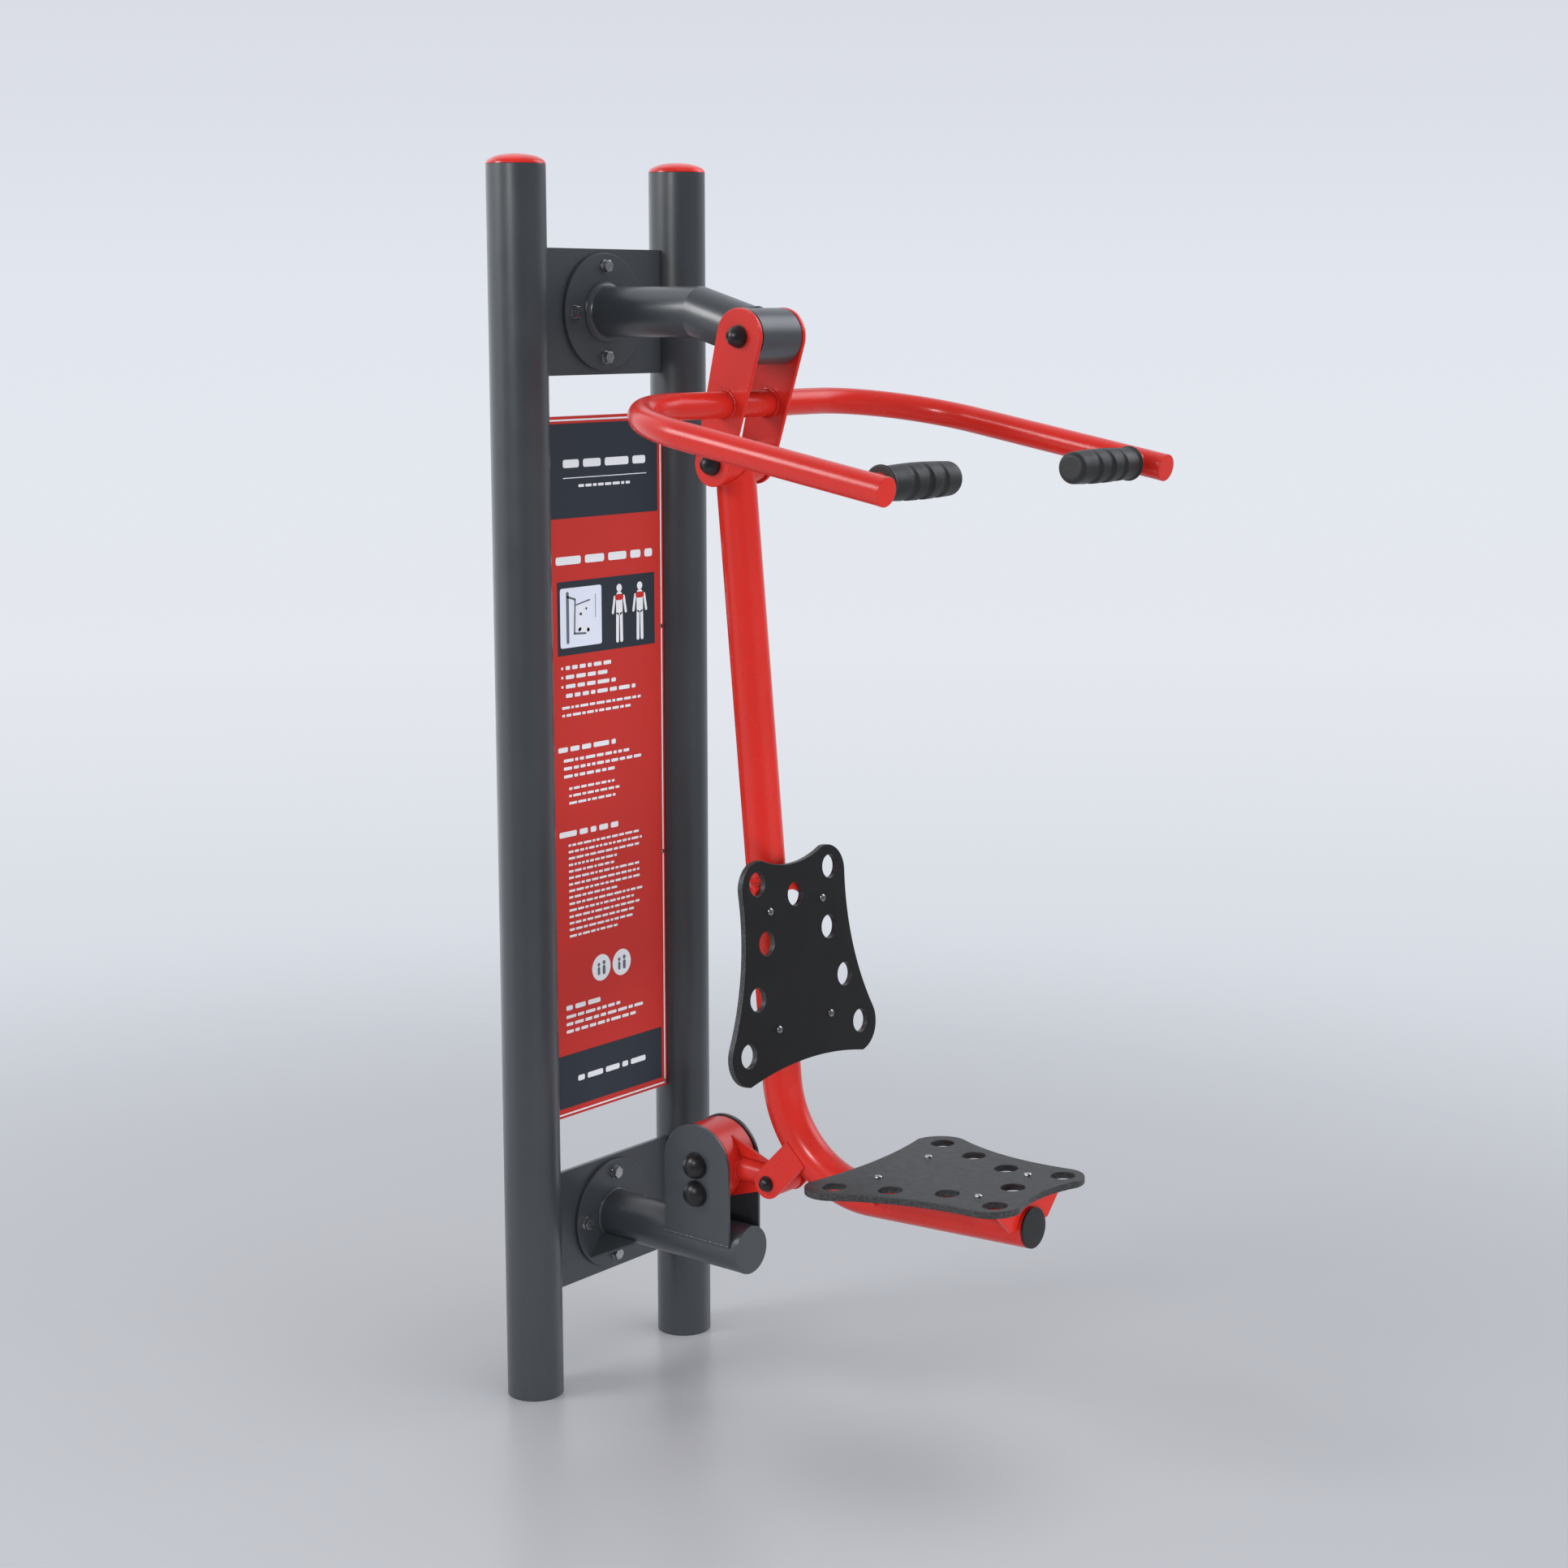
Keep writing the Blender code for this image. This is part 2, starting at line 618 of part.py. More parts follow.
def build_upper_arm(station):
    centre_x = (FLANGE_BACK_X + FLANGE_FRONT_X) / 2
    disc = flange("upper_flange")
    station.add(disc, station.frame, (centre_x, 0, UPPER_ARM_Z), ACROSS, "anthracite_coat")

    knee = Vector((UPPER_ARM_KNEE_X, 0, UPPER_ARM_Z))
    path = [Vector((ARM_START_X, 0, UPPER_ARM_Z)), knee, UPPER_PIVOT]
    arm = tube("upper_arm", path, ARM_RADIUS, TUBE_SIDES, ARM_WALL)
    station.add(arm, station.frame, (0, 0, 0), FLAT, "anthracite_coat")
    room = LEVER_HALF_WIDTH
    saddle = rod("saddle_upper_arm", PIVOT_SLEEVE_RADIUS + SEAT_GAP, -room, room, ROOM_SIDES)
    joined(arm, station.cutter(saddle, station.frame, UPPER_PIVOT, UPRIGHT))

    bore = PIVOT_SLEEVE_RADIUS - PIVOT_SLEEVE_WALL
    sleeve = ring(
        "pivot_sleeve", bore, PIVOT_SLEEVE_RADIUS, -SLEEVE_HALF_LENGTH, SLEEVE_HALF_LENGTH, TUBE_SIDES
    )
    station.add(sleeve, station.frame, UPPER_PIVOT, UPRIGHT, "anthracite_coat")
    for side, sign in SIDES:
        bush = flanged_bush(
            side + "_sleeve_bush",
            UPPER_AXLE_RADIUS + SEAT_GAP,
            bore - SEAT_GAP,
            PIVOT_SLEEVE_RADIUS - BUSH_FLANGE_INSET,
            TUBE_SIDES,
        )
        seat = UPPER_PIVOT + Vector((0, sign * (SLEEVE_HALF_LENGTH + SEAT_GAP), 0))
        station.add(bush, station.frame, seat, outward(sign), "bush_plastic")


def build_lower_arm(station):
    centre_x = (FLANGE_BACK_X + FLANGE_FRONT_X) / 2
    disc = flange("lower_flange")
    station.add(disc, station.frame, (centre_x, 0, LOWER_ARM_Z), ACROSS, "anthracite_coat")
    inner = ARM_RADIUS + SEAT_GAP
    web = [
        (centre_x, inner),
        (ARM_GUSSET_REACH, inner),
        (ARM_GUSSET_REACH, inner + ARM_GUSSET_LAND),
        (FLANGE_FRONT_X + ARM_GUSSET_LAND, ARM_GUSSET_RADIUS),
        (centre_x, ARM_GUSSET_RADIUS),
    ]
    for side, sign in SIDES:
        gusset = plate(side + "_arm_gusset", web, ARM_GUSSET_THICKNESS)
        turn = (-QUARTER_TURN + sign * ARM_GUSSET_ANGLE, 0, 0)
        station.cutter(gusset, station.frame, (0, 0, LOWER_ARM_Z), turn)
        joined(disc, gusset, "UNION")

    end = LOWER_ARM_REACH - END_DISC_THICKNESS
    path = [Vector((ARM_START_X, 0, LOWER_ARM_Z)), Vector((end - SEAT_GAP, 0, LOWER_ARM_Z))]
    arm = tube("lower_arm", path, ARM_RADIUS, TUBE_SIDES, ARM_WALL)
    station.add(arm, station.frame, (0, 0, 0), FLAT, "anthracite_coat")
    lid = rod("lower_arm_end_plate", ARM_RADIUS, 0, END_DISC_THICKNESS, TUBE_SIDES)
    station.add(lid, station.frame, (end, 0, LOWER_ARM_Z), FORWARD, "anthracite_coat")


def build_hub_mounting(station):
    """The two cheeks on the lower arm, the hub's axle and the stop bolt, with their caps."""
    foot = LOWER_ARM_Z + CHEEK_FOOT_ABOVE_ARM - HUB_Z
    outline = arc((0, 0), CHEEK_RADIUS, 0, HALF_TURN, 2 * BEND_STEPS)
    outline += [(-CHEEK_RADIUS, foot), (CHEEK_RADIUS, foot)]
    holes = [
        circle((0, 0), AXLE_END_RADIUS + SEAT_GAP, PIN_SIDES),
        circle((0, -STOP_BOLT_DROP), STOP_BOLT_RADIUS + SEAT_GAP, PIN_SIDES),
    ]
    room = rod("room_for_lower_arm", ARM_RADIUS + SEAT_GAP, 0, LOWER_ARM_REACH, ROOM_SIDES)
    station.cutter(room, station.frame, (0, 0, LOWER_ARM_Z), FORWARD)
    axle = stepped_axle(
        "hub_axle",
        HUB_AXLE_RADIUS,
        CHEEK_INNER_Y - SEAT_GAP,
        AXLE_END_RADIUS,
        CHEEK_HALF_WIDTH - SEAT_GAP,
    )
    station.add(axle, station.frame, HUB_PIVOT, UPRIGHT, "bright_steel")
    half = CHEEK_HALF_WIDTH - SEAT_GAP
    bolt_place = HUB_PIVOT - Vector((0, 0, STOP_BOLT_DROP))
    bolt = rod("stop_bolt", STOP_BOLT_RADIUS, -half, half, PIN_SIDES)
    station.add(bolt, station.frame, bolt_place, UPRIGHT, "bright_steel")
    for side, sign in SIDES:
        cheek = plate(side + "_cheek", outline, CHEEK_THICKNESS, holes)
        place = HUB_PIVOT + Vector((0, sign * (CHEEK_HALF_WIDTH + CHEEK_INNER_Y) / 2, 0))
        station.add(cheek, station.frame, place, UPRIGHT, "anthracite_coat")
        joined(cheek, room)
        out = Vector((0, sign * (CHEEK_HALF_WIDTH + SEAT_GAP), 0))
        for name, centre in (("_hub_cap", HUB_PIVOT), ("_stop_cap", bolt_place)):
            cap = domed_cap(side + name, HUB_CAP_RADIUS, HUB_CAP_RISE, CAP_SIDES)
            station.add(cap, station.frame, centre + out, outward(sign), "black_plastic")


# Lever
def link_plate_outline():
    """Two round ends of unlike radius joined by their tangents, with the upper one on the origin."""
    down = -QUARTER_TURN - LINK_PLATE_LEAN
    spread = math.acos((LINK_PLATE_UPPER_RADIUS - LINK_PLATE_LOWER_RADIUS) / LINK_PLATE_LENGTH)
    foot = polar(LINK_PLATE_LENGTH, down)
    upper = arc(
        (0, 0), LINK_PLATE_UPPER_RADIUS, down + spread, down + 2 * HALF_TURN - spread, BEND_STEPS
    )
    lower = arc((foot.x, foot.z), LINK_PLATE_LOWER_RADIUS, down - spread, down + spread, BEND_STEPS)
    return upper + lower


def build_lever(station):
    foot = LOWER_PIVOT - UPPER_PIVOT
    holes = [
        circle((0, 0), AXLE_END_RADIUS + SEAT_GAP, PIN_SIDES),
        circle((foot.x, foot.z), AXLE_END_RADIUS + SEAT_GAP, PIN_SIDES),
        circle(
            (HANDLEBAR_CENTRE.x, HANDLEBAR_CENTRE.z), HANDLEBAR_RADIUS + SEAT_GAP, POST_SIDES
        ),
    ]
    for side, sign in SIDES:
        flat = plate(side + "_link_plate", link_plate_outline(), LINK_PLATE_THICKNESS, holes)
        middle = Vector((0, sign * (LEVER_HALF_WIDTH + LINK_PLATE_INNER_Y) / 2, 0))
        station.add(flat, station.lever, middle, UPRIGHT, "red_coat")
        out = Vector((0, sign * (LEVER_HALF_WIDTH + SEAT_GAP), 0))
        for name, centre in (("_upper_pivot_cap", Vector((0, 0, 0))), ("_lower_pivot_cap", foot)):
            cap = domed_cap(side + name, PIVOT_CAP_RADIUS, PIVOT_CAP_RISE, CAP_SIDES)
            station.add(cap, station.lever, centre + out, outward(sign), "black_plastic")
    for name, radius, centre in (
        ("upper_axle", UPPER_AXLE_RADIUS, Vector((0, 0, 0))),
        ("lower_axle", LOWER_AXLE_RADIUS, foot),
    ):
        shaft = stepped_axle(
            name,
            radius,
            LINK_PLATE_INNER_Y - SEAT_GAP,
            AXLE_END_RADIUS,
            LEVER_HALF_WIDTH - SEAT_GAP,
        )
        station.add(shaft, station.lever, centre, UPRIGHT, "bright_steel")


def build_handlebar(station):
    ahead = polar(HANDLEBAR_REACH, -HANDLEBAR_SLOPE)
    close = polar(END_DISC_THICKNESS + SEAT_GAP, -HANDLEBAR_SLOPE)
    side_step = Vector((0, HANDLEBAR_HALF_WIDTH, 0))
    corners = [
        HANDLEBAR_CENTRE + ahead - close - side_step,
        HANDLEBAR_CENTRE - side_step,
        HANDLEBAR_CENTRE + side_step,
        HANDLEBAR_CENTRE + ahead - close + side_step,
    ]
    path = rounded_path(corners, HANDLEBAR_BEND_RADIUS, BEND_STEPS)
    bar = tube("handlebar", path, HANDLEBAR_RADIUS, BAR_SIDES, HANDLEBAR_WALL)
    station.add(bar, station.lever, (0, 0, 0), FLAT, "red_coat")
    along_bar = (0, QUARTER_TURN + HANDLEBAR_SLOPE, 0)
    for side, sign in SIDES:
        lid = rod(side + "_bar_end", HANDLEBAR_RADIUS, 0, END_DISC_THICKNESS, BAR_SIDES)
        place = HANDLEBAR_CENTRE + ahead - polar(END_DISC_THICKNESS, -HANDLEBAR_SLOPE)
        station.add(lid, station.lever, place + sign * side_step, along_bar, "red_coat")


def grip_profile():
    """From the hollow's closed end up over the rounded tip, then down the barrel to the collar."""
    tip = GRIP_LENGTH - GRIP_END_ROUNDING
    profile = [(0, GRIP_LENGTH)]
    for step in range(DOME_STEPS + 1):
        angle = QUARTER_TURN * (1 - step / DOME_STEPS)
        across = GRIP_RADIUS - GRIP_END_ROUNDING * (1 - math.cos(angle))
        profile.append((across, tip + GRIP_END_ROUNDING * math.sin(angle)))
    neck = GRIP_COLLAR_LENGTH + GRIP_COLLAR_FILLET
    for step in range(1, GRIP_BARREL_STEPS + 1):
        share = 1 - step / GRIP_BARREL_STEPS
        swell = math.sin(QUARTER_TURN * share)
        across = GRIP_NECK_RADIUS + (GRIP_RADIUS - GRIP_NECK_RADIUS) * swell
        profile.append((across, neck + (tip - neck) * share))
    collar_middle = GRIP_COLLAR_LENGTH / 2
    profile += [
        (across, height)
        for across, height in arc(
            (GRIP_COLLAR_RADIUS - collar_middle, collar_middle),
            collar_middle,
            QUARTER_TURN,
            -QUARTER_TURN,
            DOME_STEPS,
        )
    ]
    bore = GRIP_CORE_RADIUS + SEAT_GAP
    depth = GRIP_CORE_LENGTH + SEAT_GAP
    profile += [(bore, 0), (bore, depth), (0, depth)]
    return profile


def build_grips(station):
    station_on_bar = HANDLEBAR_REACH - GRIP_FROM_BAR_END
    axis_place = HANDLEBAR_CENTRE + polar(station_on_bar, -HANDLEBAR_SLOPE)
    stub_profile = [
        (0, GRIP_CORE_LENGTH),
        (GRIP_CORE_RADIUS, GRIP_CORE_LENGTH),
        (GRIP_CORE_RADIUS, -SEAT_GAP),
        (GRIP_STUB_RADIUS, -SEAT_GAP),
        (GRIP_STUB_RADIUS, GRIP_COLLAR_Y - HANDLEBAR_HALF_WIDTH),
        (0, GRIP_COLLAR_Y - HANDLEBAR_HALF_WIDTH),
    ]
    ring_radius = GRIP_RADIUS - FINGER_GROOVE_DEPTH + FINGER_GROOVE_ROUNDING + FINGER_GROOVE_OFFSET
    grooves = [
        circle(
            (ring_radius, FINGER_GROOVE_START + FINGER_GROOVE_PITCH * index),
            FINGER_GROOVE_ROUNDING,
            FINGER_GROOVE_SIDES,
            start=QUARTER_TURN,
            turn=-2 * HALF_TURN,
        )
        for index in range(FINGER_GROOVE_COUNT)
    ]
    along_bar = (0, QUARTER_TURN + HANDLEBAR_SLOPE, 0)
    for side, sign in SIDES:
        collar = axis_place + Vector((0, sign * GRIP_COLLAR_Y, 0))
        stub = turned(side + "_grip_stub", [stub_profile], PIN_SIDES)
        station.add(stub, station.lever, collar, outward(-sign), "red_coat")
        half_room = GRIP_COLLAR_RADIUS + CUT_OVERRUN
        room = rod(
            side + "_bar_room", HANDLEBAR_RADIUS + SEAT_GAP, -half_room, half_room, ROOM_SIDES
        )
        arm = axis_place + Vector((0, sign * HANDLEBAR_HALF_WIDTH, 0))
        joined(stub, station.cutter(room, station.lever, arm, along_bar))

        grip = turned(side + "_grip", [grip_profile()], BAR_SIDES)
        station.add(grip, station.lever, collar, outward(-sign), "grip_rubber")
        fingers = turned(side + "_finger_grooves", grooves, BAR_SIDES, closed=True)
        back = collar - polar(FINGER_GROOVE_OFFSET, FINGER_SIDE_ANGLE)
        joined(grip, station.cutter(fingers, station.lever, back, outward(-sign)))


# Seat carriage
def seat_tube_path():
    """The tube's centre line from below the sleeve to its front end, from the carriage's axis."""
    start = LOWER_PIVOT + polar(SEAT_TUBE_TOP_DROP, SEAT_TUBE_LEAN - QUARTER_TURN)
    corners = [start - LOWER_PIVOT, SEAT_CORNER - LOWER_PIVOT, SEAT_END - LOWER_PIVOT]
    return rounded_path(corners, SEAT_TUBE_BEND_RADIUS, BEND_STEPS)


def build_seat_tube(station):
    bore = CARRIAGE_SLEEVE_RADIUS - CARRIAGE_SLEEVE_WALL
    sleeve = ring(
        "carriage_sleeve",
        bore,
        CARRIAGE_SLEEVE_RADIUS,
        -SLEEVE_HALF_LENGTH,
        SLEEVE_HALF_LENGTH,
        TUBE_SIDES,
    )
    station.add(sleeve, station.carriage, (0, 0, 0), UPRIGHT, "red_coat")
    for side, sign in SIDES:
        bush = flanged_bush(
            side + "_carriage_bush",
            LOWER_AXLE_RADIUS + SEAT_GAP,
            bore - SEAT_GAP,
            CARRIAGE_SLEEVE_RADIUS - BUSH_FLANGE_INSET,
            TUBE_SIDES,
        )
        seat = (0, sign * (SLEEVE_HALF_LENGTH + SEAT_GAP), 0)
        station.add(bush, station.carriage, seat, outward(sign), "bush_plastic")

    leg = tube("seat_tube", seat_tube_path(), SEAT_TUBE_RADIUS, TUBE_SIDES, SEAT_TUBE_WALL)
    station.add(leg, station.carriage, (0, 0, 0), FLAT, "red_coat")
    room = LEVER_HALF_WIDTH
    saddle = rod("saddle_seat_tube", CARRIAGE_SLEEVE_RADIUS + SEAT_GAP, -room, room, ROOM_SIDES)
    joined(leg, station.cutter(saddle, station.carriage, (0, 0, 0), UPRIGHT))

    plug_radius = SEAT_TUBE_RADIUS - SEAT_TUBE_WALL - SEAT_GAP
    hollow = plug_radius - SEAT_PLUG_WALL
    plug = turned(
        "seat_tube_plug",
        [
            [
                (0, SEAT_PLUG_THICKNESS),
                (SEAT_TUBE_RADIUS - SEAT_PLUG_THICKNESS / 2, SEAT_PLUG_THICKNESS),
                (SEAT_TUBE_RADIUS, SEAT_PLUG_THICKNESS / 2),
                (SEAT_TUBE_RADIUS, SEAT_GAP),
                (plug_radius, SEAT_GAP),
                (plug_radius, -SEAT_PLUG_DEPTH),
                (hollow, -SEAT_PLUG_DEPTH),
                (hollow, SEAT_GAP),
                (0, SEAT_GAP),
            ]
        ],
        TUBE_SIDES,
    )
    station.add(plug, station.seat_leg, (SEAT_LEG_LENGTH, 0, 0), FORWARD, "black_plastic")


def pad_outline():
    """The seat's outline: lobes at its corners, drawn-in sides and hollow ends."""
    wide_lobe = (PAD_WIDE_LOBE_STATION, PAD_WIDE_LOBE_Y)
    narrow_lobe = (PAD_NARROW_LOBE_STATION, PAD_NARROW_LOBE_Y)
    side = circles_meet(
        wide_lobe,
        PAD_WIDE_LOBE_RADIUS + PAD_SIDE_RADIUS,
        narrow_lobe,
        PAD_NARROW_LOBE_RADIUS + PAD_SIDE_RADIUS,
        1,
    )
    wide_end = (PAD_WIDE_END_STATION - PAD_WIDE_END_RADIUS, 0)
    narrow_end = (PAD_NARROW_END_STATION + PAD_NARROW_END_RADIUS, 0)
    wide_corner = circles_meet(wide_end, PAD_WIDE_END_RADIUS, wide_lobe, PAD_WIDE_LOBE_RADIUS, 1)
    narrow_corner = circles_meet(
        narrow_end, PAD_NARROW_END_RADIUS, narrow_lobe, PAD_NARROW_LOBE_RADIUS, -1
    )
    wide_tangent = angle_from(side, wide_lobe)
    narrow_tangent = angle_from(side, narrow_lobe)
    half = arc(
        wide_end,
        PAD_WIDE_END_RADIUS,
        0,
        angle_from(wide_end, wide_corner),
        PAD_END_STEPS // 2,
    )[:-1]
    half += arc(
        wide_lobe,
        PAD_WIDE_LOBE_RADIUS,
        angle_from(wide_lobe, wide_corner),
        wide_tangent + HALF_TURN,
        PAD_LOBE_STEPS,
    )[:-1]
    half += arc(side, PAD_SIDE_RADIUS, wide_tangent, narrow_tangent, PAD_SIDE_STEPS)[:-1]
    half += arc(
        narrow_lobe,
        PAD_NARROW_LOBE_RADIUS,
        narrow_tangent + HALF_TURN,
        angle_from(narrow_lobe, narrow_corner),
        PAD_LOBE_STEPS,
    )[:-1]
    half += arc(
        narrow_end,
        PAD_NARROW_END_RADIUS,
        angle_from(narrow_end, narrow_corner),
        HALF_TURN,
        PAD_END_STEPS // 2,
    )
    return half + [(station, -across) for station, across in reversed(half[1:-1])]


def pad_holes():
    corner_station = PAD_NARROW_LOBE_STATION + PAD_CORNER_HOLE_FROM_LOBE_STATION
    corner_y = PAD_NARROW_LOBE_Y + PAD_CORNER_HOLE_FROM_LOBE_Y
    row_station = PAD_WIDE_LOBE_STATION + PAD_HOLE_FROM_LOBE_STATION
    row_y = PAD_WIDE_LOBE_Y + PAD_HOLE_FROM_LOBE_Y
    places = [(PAD_NARROW_END_STATION - PAD_MIDDLE_HOLE_FROM_END, 0)]
    for sign in (-1, 1):
        places.append((corner_station, sign * corner_y))
        for row in range(PAD_HOLE_ROWS):
            across = row_y - row * PAD_HOLE_ROW_STEP_IN
            places.append((row_station + row * PAD_HOLE_ROW_PITCH, sign * across))
    return [circle(place, PAD_HOLE_RADIUS, HOLE_SIDES) for place in places]


def bracket_profile(toward):
    """The folded section: web and flange, with the flange pointing along local X by the sign given."""
    top = PAD_OFFSET - PAD_THICKNESS - SEAT_GAP
    inner = BRACKET_FOLD_RADIUS - BRACKET_THICKNESS
    fold = (BRACKET_FOLD_RADIUS, top - BRACKET_FOLD_RADIUS)
    points = [(0, 0)]
    points += arc(fold, BRACKET_FOLD_RADIUS, HALF_TURN, QUARTER_TURN, BRACKET_FOLD_STEPS)
    points += [
        (BRACKET_FLANGE_LENGTH, top),
        (BRACKET_FLANGE_LENGTH, top - BRACKET_THICKNESS),
    ]
    points += arc(fold, inner, QUARTER_TURN, HALF_TURN, BRACKET_FOLD_STEPS)
    points += [(BRACKET_THICKNESS, 0)]
    return [(toward * along, height) for along, height in points]


def bracket_face():
    """The web's outline seen along the tube: wide under the pad, narrowing to its foot."""
    top = PAD_OFFSET - PAD_THICKNESS + CUT_OVERRUN
    edge = PAD_OFFSET - PAD_THICKNESS - BRACKET_EDGE_HEIGHT
    return [
        (-BRACKET_FOOT_HALF_WIDTH, BRACKET_FOOT_HEIGHT),
        (BRACKET_FOOT_HALF_WIDTH, BRACKET_FOOT_HEIGHT),
        (BRACKET_HALF_WIDTH, edge),
        (BRACKET_HALF_WIDTH, top),
        (-BRACKET_HALF_WIDTH, top),
        (-BRACKET_HALF_WIDTH, edge),
    ]


def build_bracket(station, name, leg, place, toward):
    length = BRACKET_FLANGE_LENGTH
    bracket = plate(name, bracket_profile(toward), 2 * (BRACKET_HALF_WIDTH + CUT_OVERRUN))
    station.add(bracket, leg, (place, 0, 0), UPRIGHT, "red_coat")
    face = plate(name + "_face", bracket_face(), 2 * (length + CUT_OVERRUN))
    joined(bracket, station.cutter(face, leg, (place, 0, 0), ACROSS), "INTERSECT")
    reach = length + CUT_OVERRUN
    room = rod(name + "_tube_room", SEAT_TUBE_RADIUS + SEAT_GAP, -reach, reach, ROOM_SIDES)
    joined(bracket, station.cutter(room, leg, (place, 0, 0), FORWARD))
    notch = rod(name + "_notch", BRACKET_NOTCH_RADIUS, 0, PAD_OFFSET, TUBE_SIDES)
    notch_place = place + toward * (length + BRACKET_NOTCH_RADIUS - BRACKET_NOTCH_DEPTH)
    joined(bracket, station.cutter(notch, leg, (notch_place, 0, 0), FLAT))


def build_pads(station):
    for pad_name, leg, start, brackets in (
        ("seat_plate", station.seat_leg, SEAT_STATION, ("seat_front_bracket", "seat_rear_bracket")),
        ("back_plate", station.back_leg, BACK_STATION, ("back_upper_bracket", "back_lower_bracket")),
    ):
        pad = plate(pad_name, pad_outline(), PAD_THICKNESS, pad_holes())
        station.add(pad, leg, (start, 0, PAD_OFFSET - PAD_THICKNESS / 2), FLAT, "board")
        build_bracket(station, brackets[0], leg, start + BRACKET_NARROW_STATION, -1)
        build_bracket(station, brackets[1], leg, start + BRACKET_WIDE_STATION, 1)


def build_clevis(station):
    centre = CLEVIS_PIVOT - LOWER_PIVOT
    inner_y = CLEVIS_HALF_WIDTH - CLEVIS_PLATE_THICKNESS
    outline = arc((0, 0), CLEVIS_PLATE_HALF_WIDTH, QUARTER_TURN, QUARTER_TURN + HALF_TURN, BEND_STEPS)
    outline += [
        (CLEVIS_PLATE_LENGTH, -CLEVIS_PLATE_HALF_WIDTH),
        (CLEVIS_PLATE_LENGTH, CLEVIS_PLATE_HALF_WIDTH),
    ]
    hole = circle((0, 0), CLEVIS_PIN_RADIUS + SEAT_GAP, PIN_SIDES)
    room = tube("room_for_seat_tube", seat_tube_path(), SEAT_TUBE_RADIUS + SEAT_GAP, TUBE_SIDES)
    station.cutter(room, station.carriage, (0, 0, 0), FLAT)
    tilt = (QUARTER_TURN, -CLEVIS_ANGLE, 0)
    half = CLEVIS_HALF_WIDTH - SEAT_GAP
    pin = rod("clevis_pin", CLEVIS_PIN_RADIUS, -half, half, PIN_SIDES)
    station.add(pin, station.carriage, centre, UPRIGHT, "bright_steel")
    for side, sign in SIDES:
        ear = plate(side + "_clevis_plate", outline, CLEVIS_PLATE_THICKNESS, [hole])
        middle = centre + Vector((0, sign * (CLEVIS_HALF_WIDTH + inner_y) / 2, 0))
        station.add(ear, station.carriage, middle, tilt, "red_coat")
        joined(ear, room)
        cap = domed_cap(side + "_clevis_cap", CLEVIS_CAP_RADIUS, CLEVIS_CAP_RISE, CAP_SIDES)
        out = centre + Vector((0, sign * (CLEVIS_HALF_WIDTH + SEAT_GAP), 0))
        station.add(cap, station.carriage, out, outward(sign), "black_plastic")


# Lower link
def stop_slot_outline():
    """A curved slot about the hub's axis. Its front end lies on the stop bolt at rest."""
    front = -QUARTER_TURN
    back = front - STOP_SLOT_TRAVEL
    half = STOP_BOLT_RADIUS + SEAT_GAP
    front_end = (STOP_BOLT_DROP * math.cos(front), STOP_BOLT_DROP * math.sin(front))
    back_end = (STOP_BOLT_DROP * math.cos(back), STOP_BOLT_DROP * math.sin(back))
    outline = arc((0, 0), STOP_BOLT_DROP + half, back, front, SLOT_STEPS)[:-1]
    outline += arc(front_end, half, front, front + HALF_TURN, SLOT_END_STEPS)[:-1]
    outline += arc((0, 0), STOP_BOLT_DROP - half, front, back, SLOT_STEPS)[:-1]
    outline += arc(back_end, half, back + HALF_TURN, back + 2 * HALF_TURN, SLOT_END_STEPS)[:-1]
    return outline


def build_hub(station):
    """A drum with end discs and a bored boss, open inside through the slots of the stop bolt."""
    bush_outer = HUB_AXLE_RADIUS + SEAT_GAP + HUB_BUSH_WALL
    bore = bush_outer + SEAT_GAP
    drum = ring("hub", bore, HUB_RADIUS, -HUB_HALF_WIDTH, HUB_HALF_WIDTH, POST_SIDES)
    station.add(drum, station.link, (0, 0, 0), UPRIGHT, "red_coat")
    inside = HUB_HALF_WIDTH - HUB_WALL
    hollow = ring(
        "hub_hollow", bore + HUB_BOSS_WALL, HUB_RADIUS - HUB_WALL, -inside, inside, POST_SIDES
    )
    slot = plate("stop_slot", stop_slot_outline(), 2 * (HUB_HALF_WIDTH + CUT_OVERRUN))
    joined(drum, station.cutter(hollow, station.link, (0, 0, 0), UPRIGHT))
    joined(drum, station.cutter(slot, station.link, (0, 0, 0), UPRIGHT))
    flange_radius = bore + HUB_BOSS_WALL
    for side, sign in SIDES:
        bush = flanged_bush(
            side + "_hub_bush", HUB_AXLE_RADIUS + SEAT_GAP, bush_outer, flange_radius, CAP_SIDES
        )
        seat = (0, sign * (HUB_HALF_WIDTH + SEAT_GAP), 0)
        station.add(bush, station.link, seat, outward(sign), "bush_plastic")


